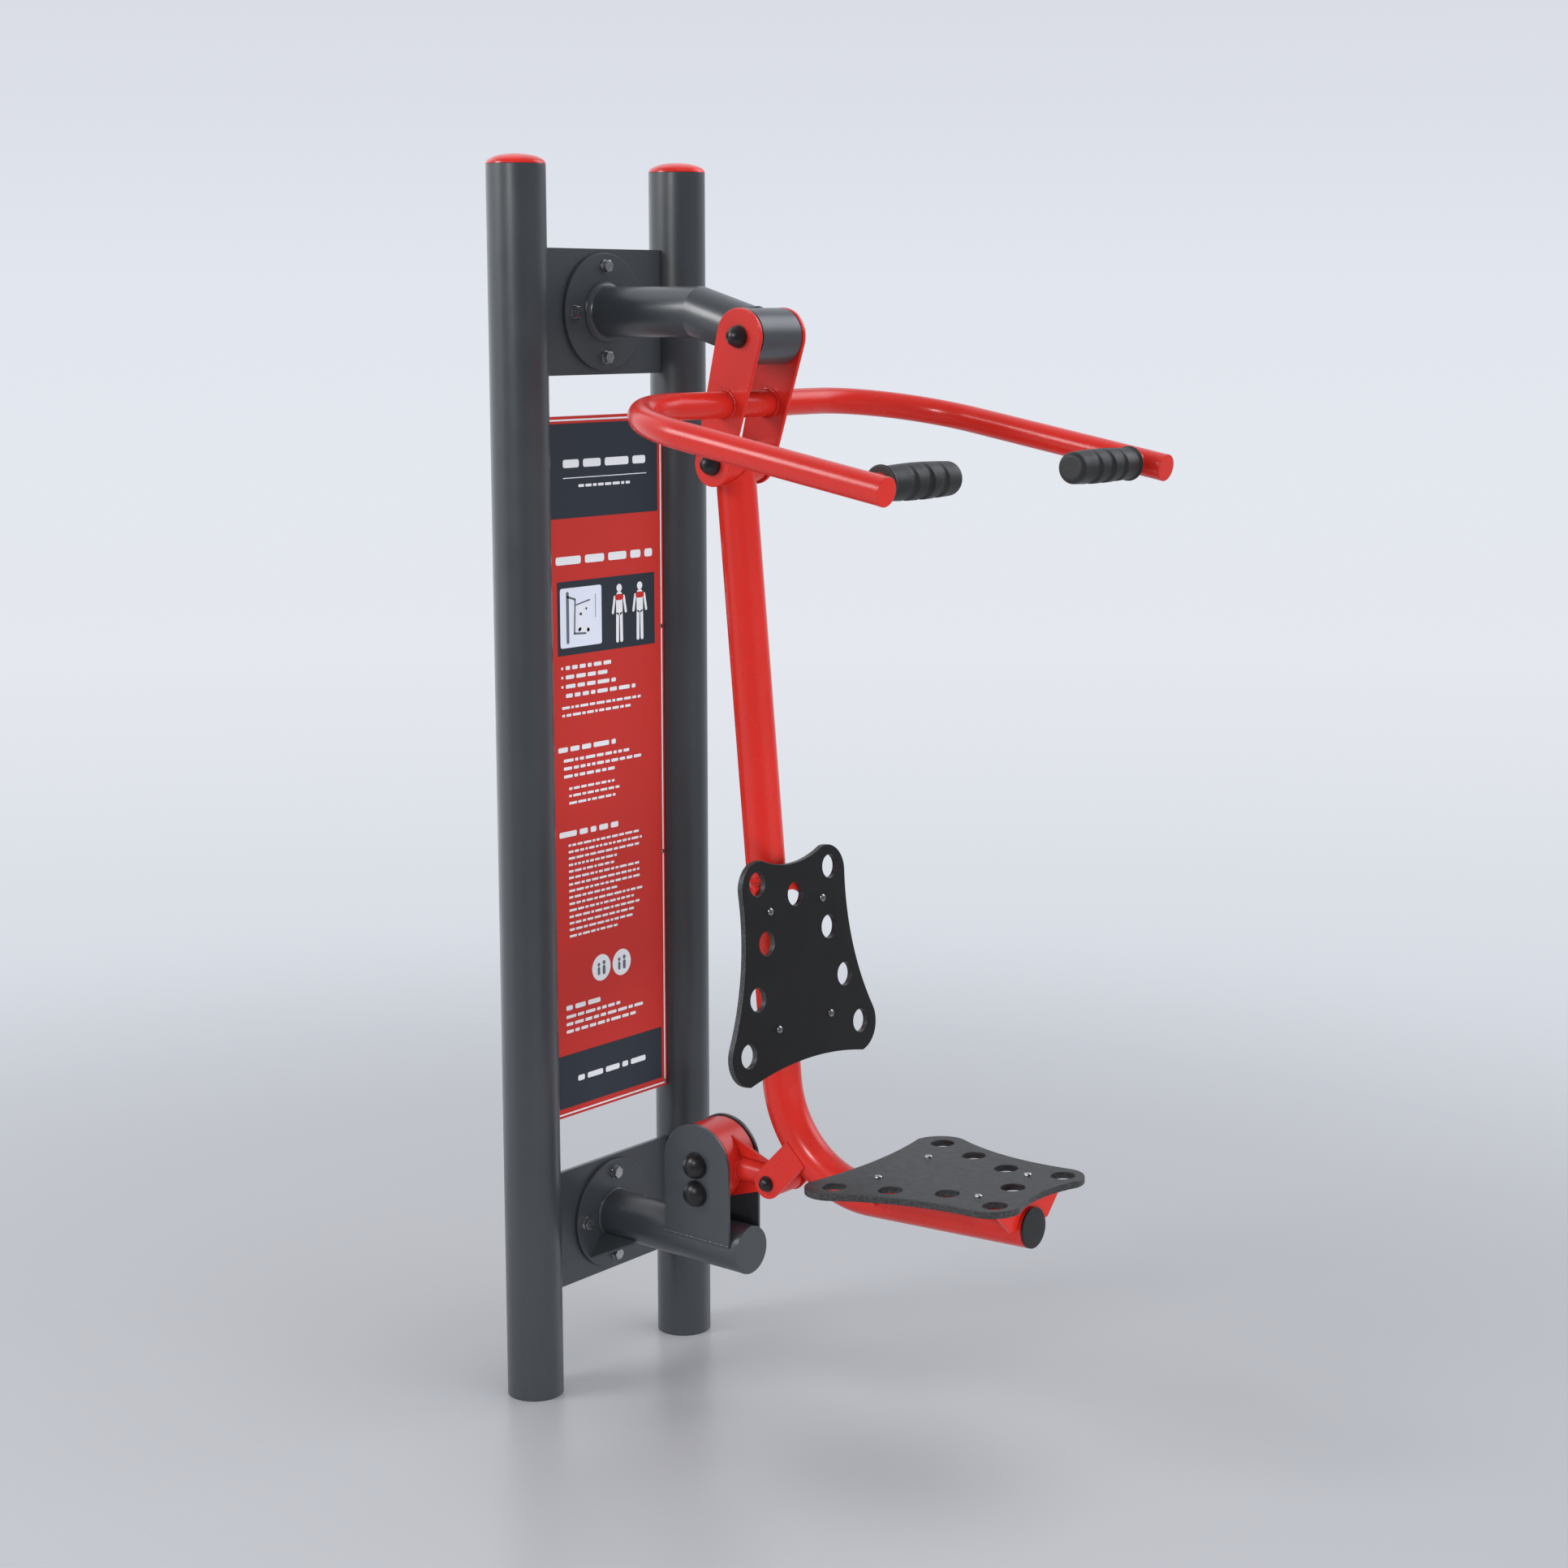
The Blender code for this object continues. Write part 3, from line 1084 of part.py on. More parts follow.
def build_link_arm(station):
    start = polar(HUB_RADIUS - HUB_WALL, LINK_ANGLE)
    end = polar(LINK_SPAN.length - LINK_EYE_BORE_RADIUS / 2, LINK_ANGLE)
    arm = tube("link_arm", [start, end], LINK_ARM_RADIUS, TUBE_SIDES, LINK_ARM_WALL)
    station.add(arm, station.link, (0, 0, 0), FLAT, "red_coat")
    reach = LINK_EYE_HALF_WIDTH + CUT_OVERRUN
    room = rod("room_for_hub", HUB_RADIUS + SEAT_GAP, -reach, reach, ROOM_SIDES)
    joined(arm, station.cutter(room, station.link, (0, 0, 0), UPRIGHT))
    eye = rod("link_eye", LINK_EYE_RADIUS, -LINK_EYE_HALF_WIDTH, LINK_EYE_HALF_WIDTH, TUBE_SIDES)
    joined(arm, station.cutter(eye, station.link, LINK_SPAN, UPRIGHT), "UNION")
    bore = rod("link_eye_bore", LINK_EYE_BORE_RADIUS, -reach, reach, TUBE_SIDES)
    joined(arm, station.cutter(bore, station.link, LINK_SPAN, UPRIGHT))

    hub_radius = HUB_RADIUS + SEAT_GAP
    low = LINK_ARM_RADIUS + SEAT_GAP
    end = LINK_SPAN.length - LINK_EYE_RADIUS - LINK_GUSSET_END_GAP
    web = arc(
        (0, 0), hub_radius, math.asin(low / hub_radius), LINK_GUSSET_HUB_ANGLE, LINK_GUSSET_STEPS
    )
    web += [(end, low + LINK_GUSSET_LAND), (end, low)]
    tilt = (QUARTER_TURN, -LINK_ANGLE, 0)
    for name, sign in (("top_gusset", 1), ("bottom_gusset", -1)):
        outline = [(x, sign * y) for x, y in web]
        gusset = plate(name, outline, LINK_GUSSET_THICKNESS)
        station.add(gusset, station.link, (0, 0, 0), tilt, "red_coat")


def build():
    for leftover in list(bpy.data.objects):
        bpy.data.objects.remove(leftover)
    station = Station()
    build_posts(station)
    build_cross_plates(station)
    build_sign(station)
    build_upper_arm(station)
    build_lower_arm(station)
    build_hub_mounting(station)
    build_lever(station)
    build_handlebar(station)
    build_grips(station)
    build_seat_tube(station)
    build_pads(station)
    build_clevis(station)
    build_hub(station)
    build_link_arm(station)


build()
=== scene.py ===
"""Looks of the outdoor seated pull-down station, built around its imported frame.

Metres, +Z up: +X points to the user's side and +Y from the near post to the far one.
"""
import json
import math
import random

import bmesh
import bpy
from mathutils import Matrix, Vector
from mathutils.geometry import tessellate_polygon

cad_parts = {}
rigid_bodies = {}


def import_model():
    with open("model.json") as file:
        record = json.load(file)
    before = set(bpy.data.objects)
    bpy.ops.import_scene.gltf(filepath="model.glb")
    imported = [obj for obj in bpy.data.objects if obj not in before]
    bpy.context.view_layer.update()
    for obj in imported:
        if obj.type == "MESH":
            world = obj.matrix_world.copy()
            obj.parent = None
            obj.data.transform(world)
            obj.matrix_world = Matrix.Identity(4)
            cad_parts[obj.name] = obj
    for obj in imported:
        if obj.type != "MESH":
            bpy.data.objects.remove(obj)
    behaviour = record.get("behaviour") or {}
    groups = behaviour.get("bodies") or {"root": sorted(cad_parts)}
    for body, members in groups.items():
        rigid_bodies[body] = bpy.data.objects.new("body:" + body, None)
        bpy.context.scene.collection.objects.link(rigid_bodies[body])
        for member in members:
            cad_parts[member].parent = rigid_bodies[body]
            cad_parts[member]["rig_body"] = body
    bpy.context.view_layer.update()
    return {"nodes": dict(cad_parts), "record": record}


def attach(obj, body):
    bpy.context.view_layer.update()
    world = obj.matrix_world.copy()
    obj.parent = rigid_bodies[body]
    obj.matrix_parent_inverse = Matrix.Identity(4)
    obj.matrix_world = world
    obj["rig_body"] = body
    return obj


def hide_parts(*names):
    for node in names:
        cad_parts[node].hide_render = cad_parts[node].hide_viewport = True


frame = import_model()
SLOT_OF = {part["node"]: part["material_slot"] for part in frame["record"]["subparts"]}

QUARTER_TURN = math.pi / 2
HALF_TURN = math.pi
FULL_TURN = 2 * math.pi
SHARP_ANGLE = math.radians(35)
MITRE_ANGLE = math.radians(4.5)
SIDES = (("near", -1), ("far", 1))

# Facets of the finer pieces
FINE_SIDES = 96
ROUND_SIDES = 64
SMALL_SIDES = 32
BEND_STEPS = 32
DOME_STEPS = 14
EDGE_ROUNDING = 0.0008
EDGE_STEPS = 3
CUTTER_ROUNDING = 0.0001
CAP_EDGE = 0.0004
BUSH_EDGE = 0.0003
CHEEK_EDGE = 0.0010
LEVER_PLATE_EDGE = 0.0013
BAR_LID_EDGE = 0.0010
PAD_EDGE = 0.0011
PLUG_EDGE = 0.0018
HUB_EDGE = 0.0012
BRACKET_EDGE = 0.0006

# Sizes that the model gives
GAP = 0.0003
POST_SPACING = 0.360
POST_RADIUS = 0.04445
POST_WALL = 0.0036
POST_HEIGHT = 1.912
POST_CAP_RISE = 0.015
POST_CAP_PLUG = 0.020
CROSS_HALF_WIDTH = POST_SPACING / 2 - POST_RADIUS - GAP
CROSS_PLATE_HALF_HEIGHT = 0.09525
PLATE_FACE_X = 0.004
FLANGE_BACK_X = 0.0043
FLANGE_FACE_X = 0.0103
FLANGE_RADIUS = 0.089
BOLT_CIRCLE_RADIUS = 0.069
BOLT_HOLE_RADIUS = 0.0065
SIGN_FACE_X = 0.005
SIGN_LOW_Z = 0.43595
SIGN_HIGH_Z = 1.53995
UPPER_ARM_Z = 1.6968
LOWER_ARM_Z = 0.252
ARM_RADIUS = 0.03805
ARM_WALL = 0.0032
ARM_START_X = 0.0106
ARM_KNEE = Vector((0.2007, 0, UPPER_ARM_Z))
LOWER_ARM_END_X = 0.2948
DISC_THICKNESS = 0.003
GUSSET_REACH = 0.078
GUSSET_RADIUS = 0.084
GUSSET_LAND = 0.006
GUSSET_HALF = 0.003
UPPER_PIVOT = Vector((0.321, 0, 1.662))
PIVOT_SLEEVE_RADIUS = 0.0411
PIVOT_SLEEVE_BORE = 0.0311
SLEEVE_HALF_LENGTH = 0.044
BUSH_FLANGE_THICKNESS = 0.002
BUSH_FLANGE_INSET = 0.0016
BUSH_LENGTH = 0.026
UPPER_AXLE_RADIUS = 0.0125
AXLE_RADIUS = 0.010
AXLE_END_RADIUS = 0.008
LEVER_LEAN = math.radians(15.42)
LEVER_LENGTH = 0.1937
LEVER_HALF_WIDTH = 0.053
LEVER_INNER_Y = 0.0466
LEVER_UPPER_RADIUS = 0.0416
LEVER_LOWER_RADIUS = 0.0334
LEVER_PLATE_HALF = 0.0032
CAP_RIM_HEIGHT = 0.0014
CAP_RIM_WIDTH = 0.0012
PIVOT_CAP = (0.0170, 0.0200)
CLEVIS_CAP = (0.0125, 0.0122)
HUB_CAP = (0.0215, 0.0200)
BAR_FROM_PIVOT = 0.1026
BAR_RADIUS = 0.0199
BAR_WALL = 0.0025
BAR_HALF_WIDTH = 0.341
BAR_BEND_RADIUS = 0.175
BAR_REACH = 0.5227
BAR_SLOPE = math.radians(10.03)
GRIP_FROM_BAR_END = 0.0406
GRIP_COLLAR_Y = 0.3027
GRIP_COLLAR_RADIUS = 0.0255
GRIP_COLLAR_LENGTH = 0.005
GRIP_LENGTH = 0.1572
GRIP_NECK_HEIGHT = 0.0090
GRIP_NECK_RADIUS = 0.0228
GRIP_RADIUS = 0.0248
GRIP_TIP_RADIUS = 0.0232
GRIP_END_ROUNDING = 0.0085
GRIP_STEPS = 110
GRIP_CORE = (0.010, 0.144)
GROOVE_HEIGHTS = (0.047, 0.081, 0.115)
GROOVE_ROUNDING = 0.0100
GROOVE_DEPTH = 0.0040
GROOVE_OFFSET = 0.0021
GROOVE_SOFTNESS = 0.0002
FINGER_SIDE_ANGLE = math.radians(-50)
STUB_RADIUS = 0.015
CARRIAGE_SLEEVE_RADIUS = 0.030
CARRIAGE_SLEEVE_BORE = 0.022
SEAT_TUBE_RADIUS = 0.03015
SEAT_TUBE_WALL = 0.0036
SEAT_TUBE_TOP_DROP = 0.010
SEAT_CORNER = Vector((0.3753, 0, 0.3822))
SEAT_TUBE_BEND = 0.1667
SEAT_LEG_LENGTH = 0.4466
SEAT_LEG_RISE = math.radians(2.8)
SEAT_STATION = 0.1937
BACK_STATION = 0.227
PAD_OFFSET = 0.0546
PAD_THICKNESS = 0.010
PAD_ENDS = (-0.0315, 0.2685)
PAD_END_RADII = (0.600, 0.1833)
LOBE_RADII = (0.0445, 0.0423)
LOBE_ACROSS = (0.129, 0.080)
PAD_WAIST_RADIUS = 0.410
PAD_HOLE_RADIUS = 0.018
PLUG_THICKNESS = 0.004
PLUG_DEPTH = 0.018
PLUG_WALL = 0.003
SAWN_EDGE_AND_HIGHLIGHT_INSET = 0.0004
BRACKET_STATIONS = (0.2485, 0.0015)
BRACKET_THICKNESS = 0.005
BRACKET_FOLD = 0.008
BRACKET_HALF_WIDTH = 0.082
BRACKET_FOOT_HALF_WIDTH = 0.047
BRACKET_FLANGE = 0.045
BRACKET_NOTCH = 0.040
BRACKET_NOTCH_DEPTH = 0.024
BRACKET_FOOT_HEIGHT = 0.0035
BRACKET_SHOULDER_DROP = 0.007
CUTTER_REACH = 0.06
THIN_PLATE_HALF = 0.0025
HUB_PIVOT = Vector((0.218, 0, 0.3832))
HUB_RADIUS = 0.0635
HUB_BORE = 0.0146
HUB_BOSS_RADIUS = 0.0206
HUB_HALF_WIDTH = 0.0313
HUB_WALL = 0.005
CHEEK_HALF_WIDTH = 0.0389
CHEEK_INNER_Y = 0.0339
CHEEK_RADIUS = 0.0661
CHEEK_FOOT_Z = LOWER_ARM_Z + 0.0135
STOP_BOLT_DROP = 0.0453
STOP_BOLT_RADIUS = 0.008
STOP_SLOT_TRAVEL = math.radians(24)
LINK_ARM_RADIUS = 0.019
LINK_ARM_WALL = 0.003
LINK_EYE_RADIUS = 0.022
LINK_EYE_BORE = 0.013
LINK_EYE_HALF_WIDTH = 0.0265
LINK_CUTTER_REACH = 0.035
CLEVIS_PIN_RADIUS = 0.006
CLEVIS_REACH = 0.2443
CLEVIS_ANGLE = math.radians(46)
CLEVIS_LENGTH = 0.0795
CLEVIS_RADIUS = 0.024
CLEVIS_HALF_WIDTH = 0.033
CLEVIS_INNER_Y = 0.028


def polar(length, angle):
    """A vector in the plane of the linkage, its angle counted from +X towards +Z."""
    return Vector((length * math.cos(angle), 0, length * math.sin(angle)))


LEVER_DOWN = -QUARTER_TURN - LEVER_LEAN
LOWER_PIVOT = UPPER_PIVOT + polar(LEVER_LENGTH, LEVER_DOWN)
BAR_CENTRE = UPPER_PIVOT + polar(BAR_FROM_PIVOT, LEVER_DOWN)
BAR_LID = BAR_CENTRE + polar(BAR_REACH - DISC_THICKNESS, -BAR_SLOPE)
GRIP_AXIS = BAR_CENTRE + polar(BAR_REACH - GRIP_FROM_BAR_END, -BAR_SLOPE)
SEAT_TUBE_LEAN = math.atan2(SEAT_CORNER.x - LOWER_PIVOT.x, LOWER_PIVOT.z - SEAT_CORNER.z)
BEND_HALF_ANGLE = (QUARTER_TURN + SEAT_TUBE_LEAN - SEAT_LEG_RISE) / 2
BEND_CENTRE = SEAT_CORNER + polar(
    SEAT_TUBE_BEND / math.sin(BEND_HALF_ANGLE), SEAT_LEG_RISE + BEND_HALF_ANGLE
)
CLEVIS_PIVOT = BEND_CENTRE - polar(CLEVIS_REACH, CLEVIS_ANGLE)
STOP_BOLT = HUB_PIVOT - Vector((0, 0, STOP_BOLT_DROP))
LINK_SPAN = CLEVIS_PIVOT - HUB_PIVOT
LINK_ANGLE = math.atan2(LINK_SPAN.z, LINK_SPAN.x)


def at(x, y, z):
    return Matrix.Translation((x, y, z))


def spin(axis, angle):
    return Matrix.Rotation(angle, 4, axis)


# Local X stays and local Y turns up to Z
UPRIGHT = spin("X", QUARTER_TURN)
# Local X turns to Y, local Y to Z and local Z to X
ACROSS = spin("Z", QUARTER_TURN) @ UPRIGHT
# Local Z turns to X
FORWARD = spin("Y", QUARTER_TURN)
ALONG_BAR = spin("Y", QUARTER_TURN + BAR_SLOPE)
SEAT_PLANE = at(*SEAT_CORNER) @ spin("Y", -SEAT_LEG_RISE)
BACK_PLANE = at(*SEAT_CORNER) @ spin("Z", HALF_TURN) @ spin("Y", SEAT_TUBE_LEAN - QUARTER_TURN)
PADS = (
    ("seat", SEAT_PLANE @ at(SEAT_STATION, 0, 0), "front", "rear"),
    ("back", BACK_PLANE @ at(BACK_STATION, 0, 0), "upper", "lower"),
)


def beside(point, y):
    """The point moved off the linkage's plane."""
    return Vector((point.x, y, point.z))


def lying(point, y=0.0):
    """The place at which a piece modelled in local XY stands upright beside a point."""
    return at(*beside(point, y)) @ UPRIGHT


def facing(point, y, sign):
    """The place beside a point at which local Z turns to +Y (1) or -Y (-1)."""
    return at(*beside(point, y)) @ spin("X", -sign * QUARTER_TURN)


# Node trees
class Nodes:
    """A node tree and the calls that fill it."""

    def __init__(self, tree):
        self.tree = tree
        self.tree.nodes.clear()

    def node(self, kind, settings=None, **inputs):
        made = self.tree.nodes.new(kind)
        for key, value in (settings or {}).items():
            setattr(made, key, value)
        for key, value in inputs.items():
            self.feed(made.inputs[key.replace("_", " ")], value)
        return made

    def feed(self, socket, value):
        if isinstance(value, bpy.types.NodeSocket):
            self.tree.links.new(value, socket)
        else:
            socket.default_value = value

    def fed(self, kind, settings, values, result=0):
        """An output of a new node whose inputs are fed in order, None leaving one out."""
        made = self.node(kind, settings)
        for socket, value in zip(made.inputs, values):
            if value is not None:
                self.feed(socket, value)
        return made.outputs[result]

    def mapped(self, value, source, target=(0.0, 1.0), kind="LINEAR"):
        settings = {"interpolation_type": kind}
        return self.fed("ShaderNodeMapRange", settings, (value, *source, *target))

    def blend(self, share, first, second):
        values = (share, *[None] * 5, first, second)
        return self.fed("ShaderNodeMix", {"data_type": "RGBA"}, values, 2)

    def maths(self, operation, first, second):
        return self.fed("ShaderNodeMath", {"operation": operation}, (first, second))


class Finish(Nodes):
    """A procedural material. Its patterns lie in object space, so they move with the piece.

    A noise is given as its scale, detail, roughness and stretch.
    """

    def __init__(self, name):
        self.material = bpy.data.materials.new(name)
        self.material.use_nodes = True
        super().__init__(self.material.node_tree)
        self.place = self.node("ShaderNodeTexCoord").outputs["Object"]

    def noise(self, scale, detail=2.0, roughness=0.5, stretch=None):
        place = self.place
        if stretch:
            place = self.node("ShaderNodeMapping", Vector=place, Scale=stretch).outputs[0]
        return self.node(
            "ShaderNodeTexNoise", Vector=place, Scale=scale, Detail=detail, Roughness=roughness
        ).outputs["Fac"]

    def spread(self, noise, source=(0.3, 0.7), target=(0.0, 1.0), kind="LINEAR"):
        return self.mapped(self.noise(*noise), source, target, kind)

    def tinted(self, first, second, *pattern):
        """The ground tint, which goes from one colour to another with a noise."""
        self.tint = self.blend(self.spread(*pattern), (*first, 1.0), (*second, 1.0))

    def flecked(self, colour, share):
        self.tint = self.blend(share, self.tint, (*colour, 1.0))

    def bump(self, height, strength, distance, **under):
        return self.node(
            "ShaderNodeBump", Height=height, Strength=strength, Distance=distance, **under
        ).outputs[0]

    def surface(self, gloss, normal, **inputs):
        shader = self.node(
            "ShaderNodeBsdfPrincipled",
            Base_Color=self.tint,
            Roughness=gloss,
            Normal=normal,
            **inputs,
        )
        self.node("ShaderNodeOutputMaterial", Surface=shader.outputs[0])
        return self.material


def shade(colour, share):
    return [min(1.0, part * share) for part in colour]


def powder_coat(name, colour, roughness, coat, specular, dust):
    """Sprayed coat: slight waviness and orange peel, uneven gloss, faint clouds, a little dust."""
    finish = Finish(name)
    pattern = ((7.0, 4.0), (0.25, 0.75), (0.0, 1.0), "SMOOTHSTEP")
    finish.tinted(shade(colour, 0.96), shade(colour, 1.04), *pattern)
    specks = finish.spread((260.0, 3.0, 0.7), (0.64, 0.80), (0.0, dust))
    finish.flecked((0.40, 0.39, 0.38), specks)
    limits = (roughness - 0.02, roughness + 0.04)
    wave = finish.bump(finish.noise(11.0, 1.0), 0.22, 0.0035)
    peel = finish.maths("ADD", finish.noise(520.0, 1.0), finish.noise(1900.0, 1.0))
    return finish.surface(
        finish.spread((22.0, 3.0), (0.2, 0.8), limits, "SMOOTHSTEP"),
        finish.bump(peel, 0.07, 0.00022, Normal=wave),
        Specular_IOR_Level=specular,
        Coat_Weight=coat,
        Coat_Roughness=0.14,
    )


def sign_print(name, colour, roughness=0.42):
    """Print under a clear film: fine dots of ink and soft handling marks in the gloss."""
    finish = Finish(name)
    finish.tinted(shade(colour, 0.95), shade(colour, 1.05), (3.0, 3.0, 0.5, (1.0, 1.0, 0.35)))
    finish.flecked(shade(colour, 0.80), finish.spread((1500.0, 1.0), (0.35, 0.65), (0.0, 0.10)))
    marks = (14.0, 6.0, 0.65, (1.0, 1.0, 0.2))
    return finish.surface(
        finish.spread(marks, target=(roughness - 0.07, roughness + 0.08)),
        finish.bump(finish.noise(9.0, 2.0), 0.05, 0.002),
        Specular_IOR_Level=0.35,
    )


def board(name):
    """Solid plastic board: fine pressed grain, pale scuffs, sparse flecks, crumbly sawn edges whose
    lighter specks also paint a highlight along the rim.
    """
    finish = Finish(name)
    finish.tinted((0.0055, 0.0055, 0.0056), (0.0075, 0.0075, 0.0077), (16.0, 5.0))
    flecks = finish.spread((330.0, 2.0, 0.8), (0.70, 0.77), (0.0, 0.30))
    finish.flecked((0.070, 0.070, 0.070), flecks)
    scuff = finish.spread((38.0, 8.0, 0.75, (1.0, 6.0, 1.0)), (0.64, 0.76), (0.0, 0.10))
    finish.flecked((0.060, 0.060, 0.061), scuff)
    # Side walls painted lighter in specks: partly the crumbly sawn cut, partly a painted highlight
    # along the pad's rim
    edge = finish.node("ShaderNodeAttribute", {"attribute_name": "sawn_edge_and_highlight"}).outputs["Fac"]
    crumbs_and_highlight = finish.spread((420.0, 2.0, 0.7), (0.42, 0.66), (0.25, 1.0))
    finish.flecked((0.060, 0.060, 0.062), finish.maths("MULTIPLY", edge, crumbs_and_highlight))
    return finish.surface(
        finish.spread((90.0, 4.0), target=(0.40, 0.46)),
        finish.bump(finish.noise(900.0, 3.0, 0.6), 0.30, 0.0005),
        Specular_IOR_Level=0.4,
    )


def moulded(name, colour, roughness, grain=0.12, scale=700.0):
    """Moulded plastic or rubber with a spark-eroded grain and a trace of dust."""
    finish = Finish(name)
    finish.tinted(shade(colour, 0.85), shade(colour, 1.2), (30.0, 4.0))
    dust = finish.spread((95.0, 6.0, 0.7), (0.60, 0.82), (0.0, 0.06))
    finish.flecked((0.13, 0.125, 0.12), dust)
    pores = finish.node(
        "ShaderNodeTexVoronoi", {"feature": "F1"}, Vector=finish.place, Scale=scale
    ).outputs["Distance"]
    gloss = finish.spread((45.0, 4.0), target=(roughness - 0.05, roughness + 0.07))
    return finish.surface(gloss, finish.bump(pores, grain, 0.0005))


def plated_steel(name):
    """Zinc-plated steel: spangled tone, fine scratches and smears in the gloss."""
    finish = Finish(name)
    finish.tinted((0.46, 0.47, 0.49), (0.66, 0.67, 0.69), (420.0, 3.0), (0.35, 0.65))
    scratch = finish.noise(300.0, 4.0, 0.7, (1.0, 9.0, 1.0))
    gloss = finish.spread((160.0, 6.0, 0.7), target=(0.20, 0.38))
    return finish.surface(gloss, finish.bump(scratch, 0.12, 0.0002), Metallic=1.0)


RED = (0.530, 0.019, 0.012)
ANTHRACITE = (0.038, 0.044, 0.050)

FINISHES = {
    "red_coat": powder_coat("red_coat", RED, 0.26, 0.15, 0.30, 0.02),
    "anthracite_coat": powder_coat("anthracite_coat", ANTHRACITE, 0.34, 0.08, 0.70, 0.03),
    "red_cap_plastic": moulded("red_cap_plastic", (0.54, 0.018, 0.012), 0.22, 0.03),
    "sign_panel_coat": sign_print("sign_panel_coat", (0.500, 0.026, 0.019)),
    "black_board": board("black_board"),
    "black_cap_plastic": moulded("black_cap_plastic", (0.010, 0.010, 0.011), 0.34, 0.06),
    "bush_plastic": moulded("bush_plastic", (0.012, 0.012, 0.013), 0.50),
    "grip_rubber": moulded("grip_rubber", (0.015, 0.0155, 0.016), 0.50, 0.25, 420.0),
    "bright_steel": plated_steel("bright_steel"),
}
PRINTS = {
    "dark": sign_print("print_dark", (0.024, 0.032, 0.044), 0.46),
    "pale": sign_print("print_pale", (0.74, 0.77, 0.80)),
    "blue": sign_print("print_blue", (0.70, 0.76, 0.88)),
    "grey": sign_print("print_grey", (0.12, 0.14, 0.16)),
    "red": sign_print("print_red", (0.50, 0.018, 0.014)),
}


# Mesh tools
def smoothed(mesh, angle=SHARP_ANGLE):
    mesh.shade_smooth()
    mesh.set_sharp_from_angle(angle=angle)
    return mesh


def linked(name, data):
    made = bpy.data.objects.new(name, data)
    bpy.context.scene.collection.objects.link(made)
    return made


def piece_from(solid, angle=SHARP_ANGLE):
    mesh = bpy.data.meshes.new("piece")
    bmesh.ops.recalc_face_normals(solid, faces=solid.faces)
    solid.to_mesh(mesh)
    solid.free()
    return linked("piece", smoothed(mesh, angle))


def cut(piece, other, operation="DIFFERENCE", angle=SHARP_ANGLE):
    """Cuts the other shape from the piece, or unites or intersects them, and removes it."""
    modifier = piece.modifiers.new("cut", "BOOLEAN")
    modifier.operation = operation
    modifier.object = other
    graph = bpy.context.evaluated_depsgraph_get()
    graph.update()
    mesh = bpy.data.meshes.new_from_object(piece.evaluated_get(graph))
    piece.modifiers.clear()
    piece.data = smoothed(mesh, angle)
    bpy.data.objects.remove(other)
    return piece


def moved(piece, matrix):
    piece.data.transform(matrix)
    return piece


def frame_on(axis):
    """A rotation that turns local Z to the axis."""
    return Vector((0, 0, 1)).rotation_difference(Vector(axis)).to_matrix().to_4x4()


def placed(piece, place, axis=(0, 0, 1)):
    return moved(piece, Matrix.Translation(place) @ frame_on(axis))


def eased(points, rounding=EDGE_ROUNDING, closed=False):
    """The outline with a small curve in place of each corner."""
    result = []
    for index, point in enumerate(points):
        if not closed and index in (0, len(points) - 1):
            result.append(point)
            continue
        corner = Vector(point)
        back = Vector(points[index - 1]) - corner
        ahead = Vector(points[(index + 1) % len(points)]) - corner
        start = corner + back.normalized() * min(rounding, back.length * 0.45)
        end = corner + ahead.normalized() * min(rounding, ahead.length * 0.45)
        for step in range(EDGE_STEPS + 1):
            share = step / EDGE_STEPS
            result.append(tuple(start.lerp(corner, share).lerp(corner.lerp(end, share), share)))
    return result


def each_with_next(rings, closed=False):
    return zip(rings, rings[1:] + rings[:1] if closed else rings[1:])


def bridged(solid, first, second):
    """Faces between two rings of corners, of which one may be a single corner."""
    count = max(len(first), len(second))
    for step in range(count):
        after = step + 1
        corners = []
        for loop, place in ((first, step), (first, after), (second, after), (second, step)):
            if loop[place % len(loop)] not in corners:
                corners.append(loop[place % len(loop)])
        if len(corners) > 2:
            solid.faces.new(corners)


def turned(profile, sides=ROUND_SIDES, closed=False, shape=None):
    """A profile of (radius, height) turned about Z. Points on the axis close it."""
    solid = bmesh.new()
    rings = []
    for radius, height in profile:
        rings.append([])
        for step in range(sides if radius else 1):
            angle = FULL_TURN * step / sides
            reach = shape(radius, height, angle) if shape and radius else radius
            corner = (reach * math.cos(angle), reach * math.sin(angle), height)
            rings[-1].append(solid.verts.new(corner))
    for upper, lower in each_with_next(rings, closed):
        bridged(solid, upper, lower)
    return piece_from(solid)


def rod(radius, low, high, rounding=EDGE_ROUNDING, sides=ROUND_SIDES):
    return turned(eased([(0, high), (radius, high), (radius, low), (0, low)], rounding), sides)


def ring(inner, outer, low, high, rounding=EDGE_ROUNDING, sides=FINE_SIDES):
    corners = [(outer, high), (outer, low), (inner, low), (inner, high)]
    return turned(eased(corners, rounding, closed=True), sides, closed=True)


def drill(radius, low, high):
    """A plain round cutter."""
    return turned([(0, high), (radius, high), (radius, low), (0, low)], FINE_SIDES)


def saddle_drill(radius, pivot, reach):
    """A cutter that lies along Y at a pivot."""
    return moved(drill(radius, -reach, reach), lying(pivot))


def rounded_path(corners, radius):
    path = [corners[0]]
    for before, corner, after in zip(corners, corners[1:], corners[2:]):
        back = (before - corner).normalized()
        ahead = (after - corner).normalized()
        half = back.angle(ahead) / 2
        centre = corner + (back + ahead).normalized() * (radius / math.sin(half))
        arm = corner + back * (radius / math.tan(half)) - centre
        axis = ahead.cross(back)
        turn = HALF_TURN - 2 * half
        for step in range(BEND_STEPS + 1):
            path.append(centre + Matrix.Rotation(turn * step / BEND_STEPS, 3, axis) @ arm)
    path.append(corners[-1])
    return path


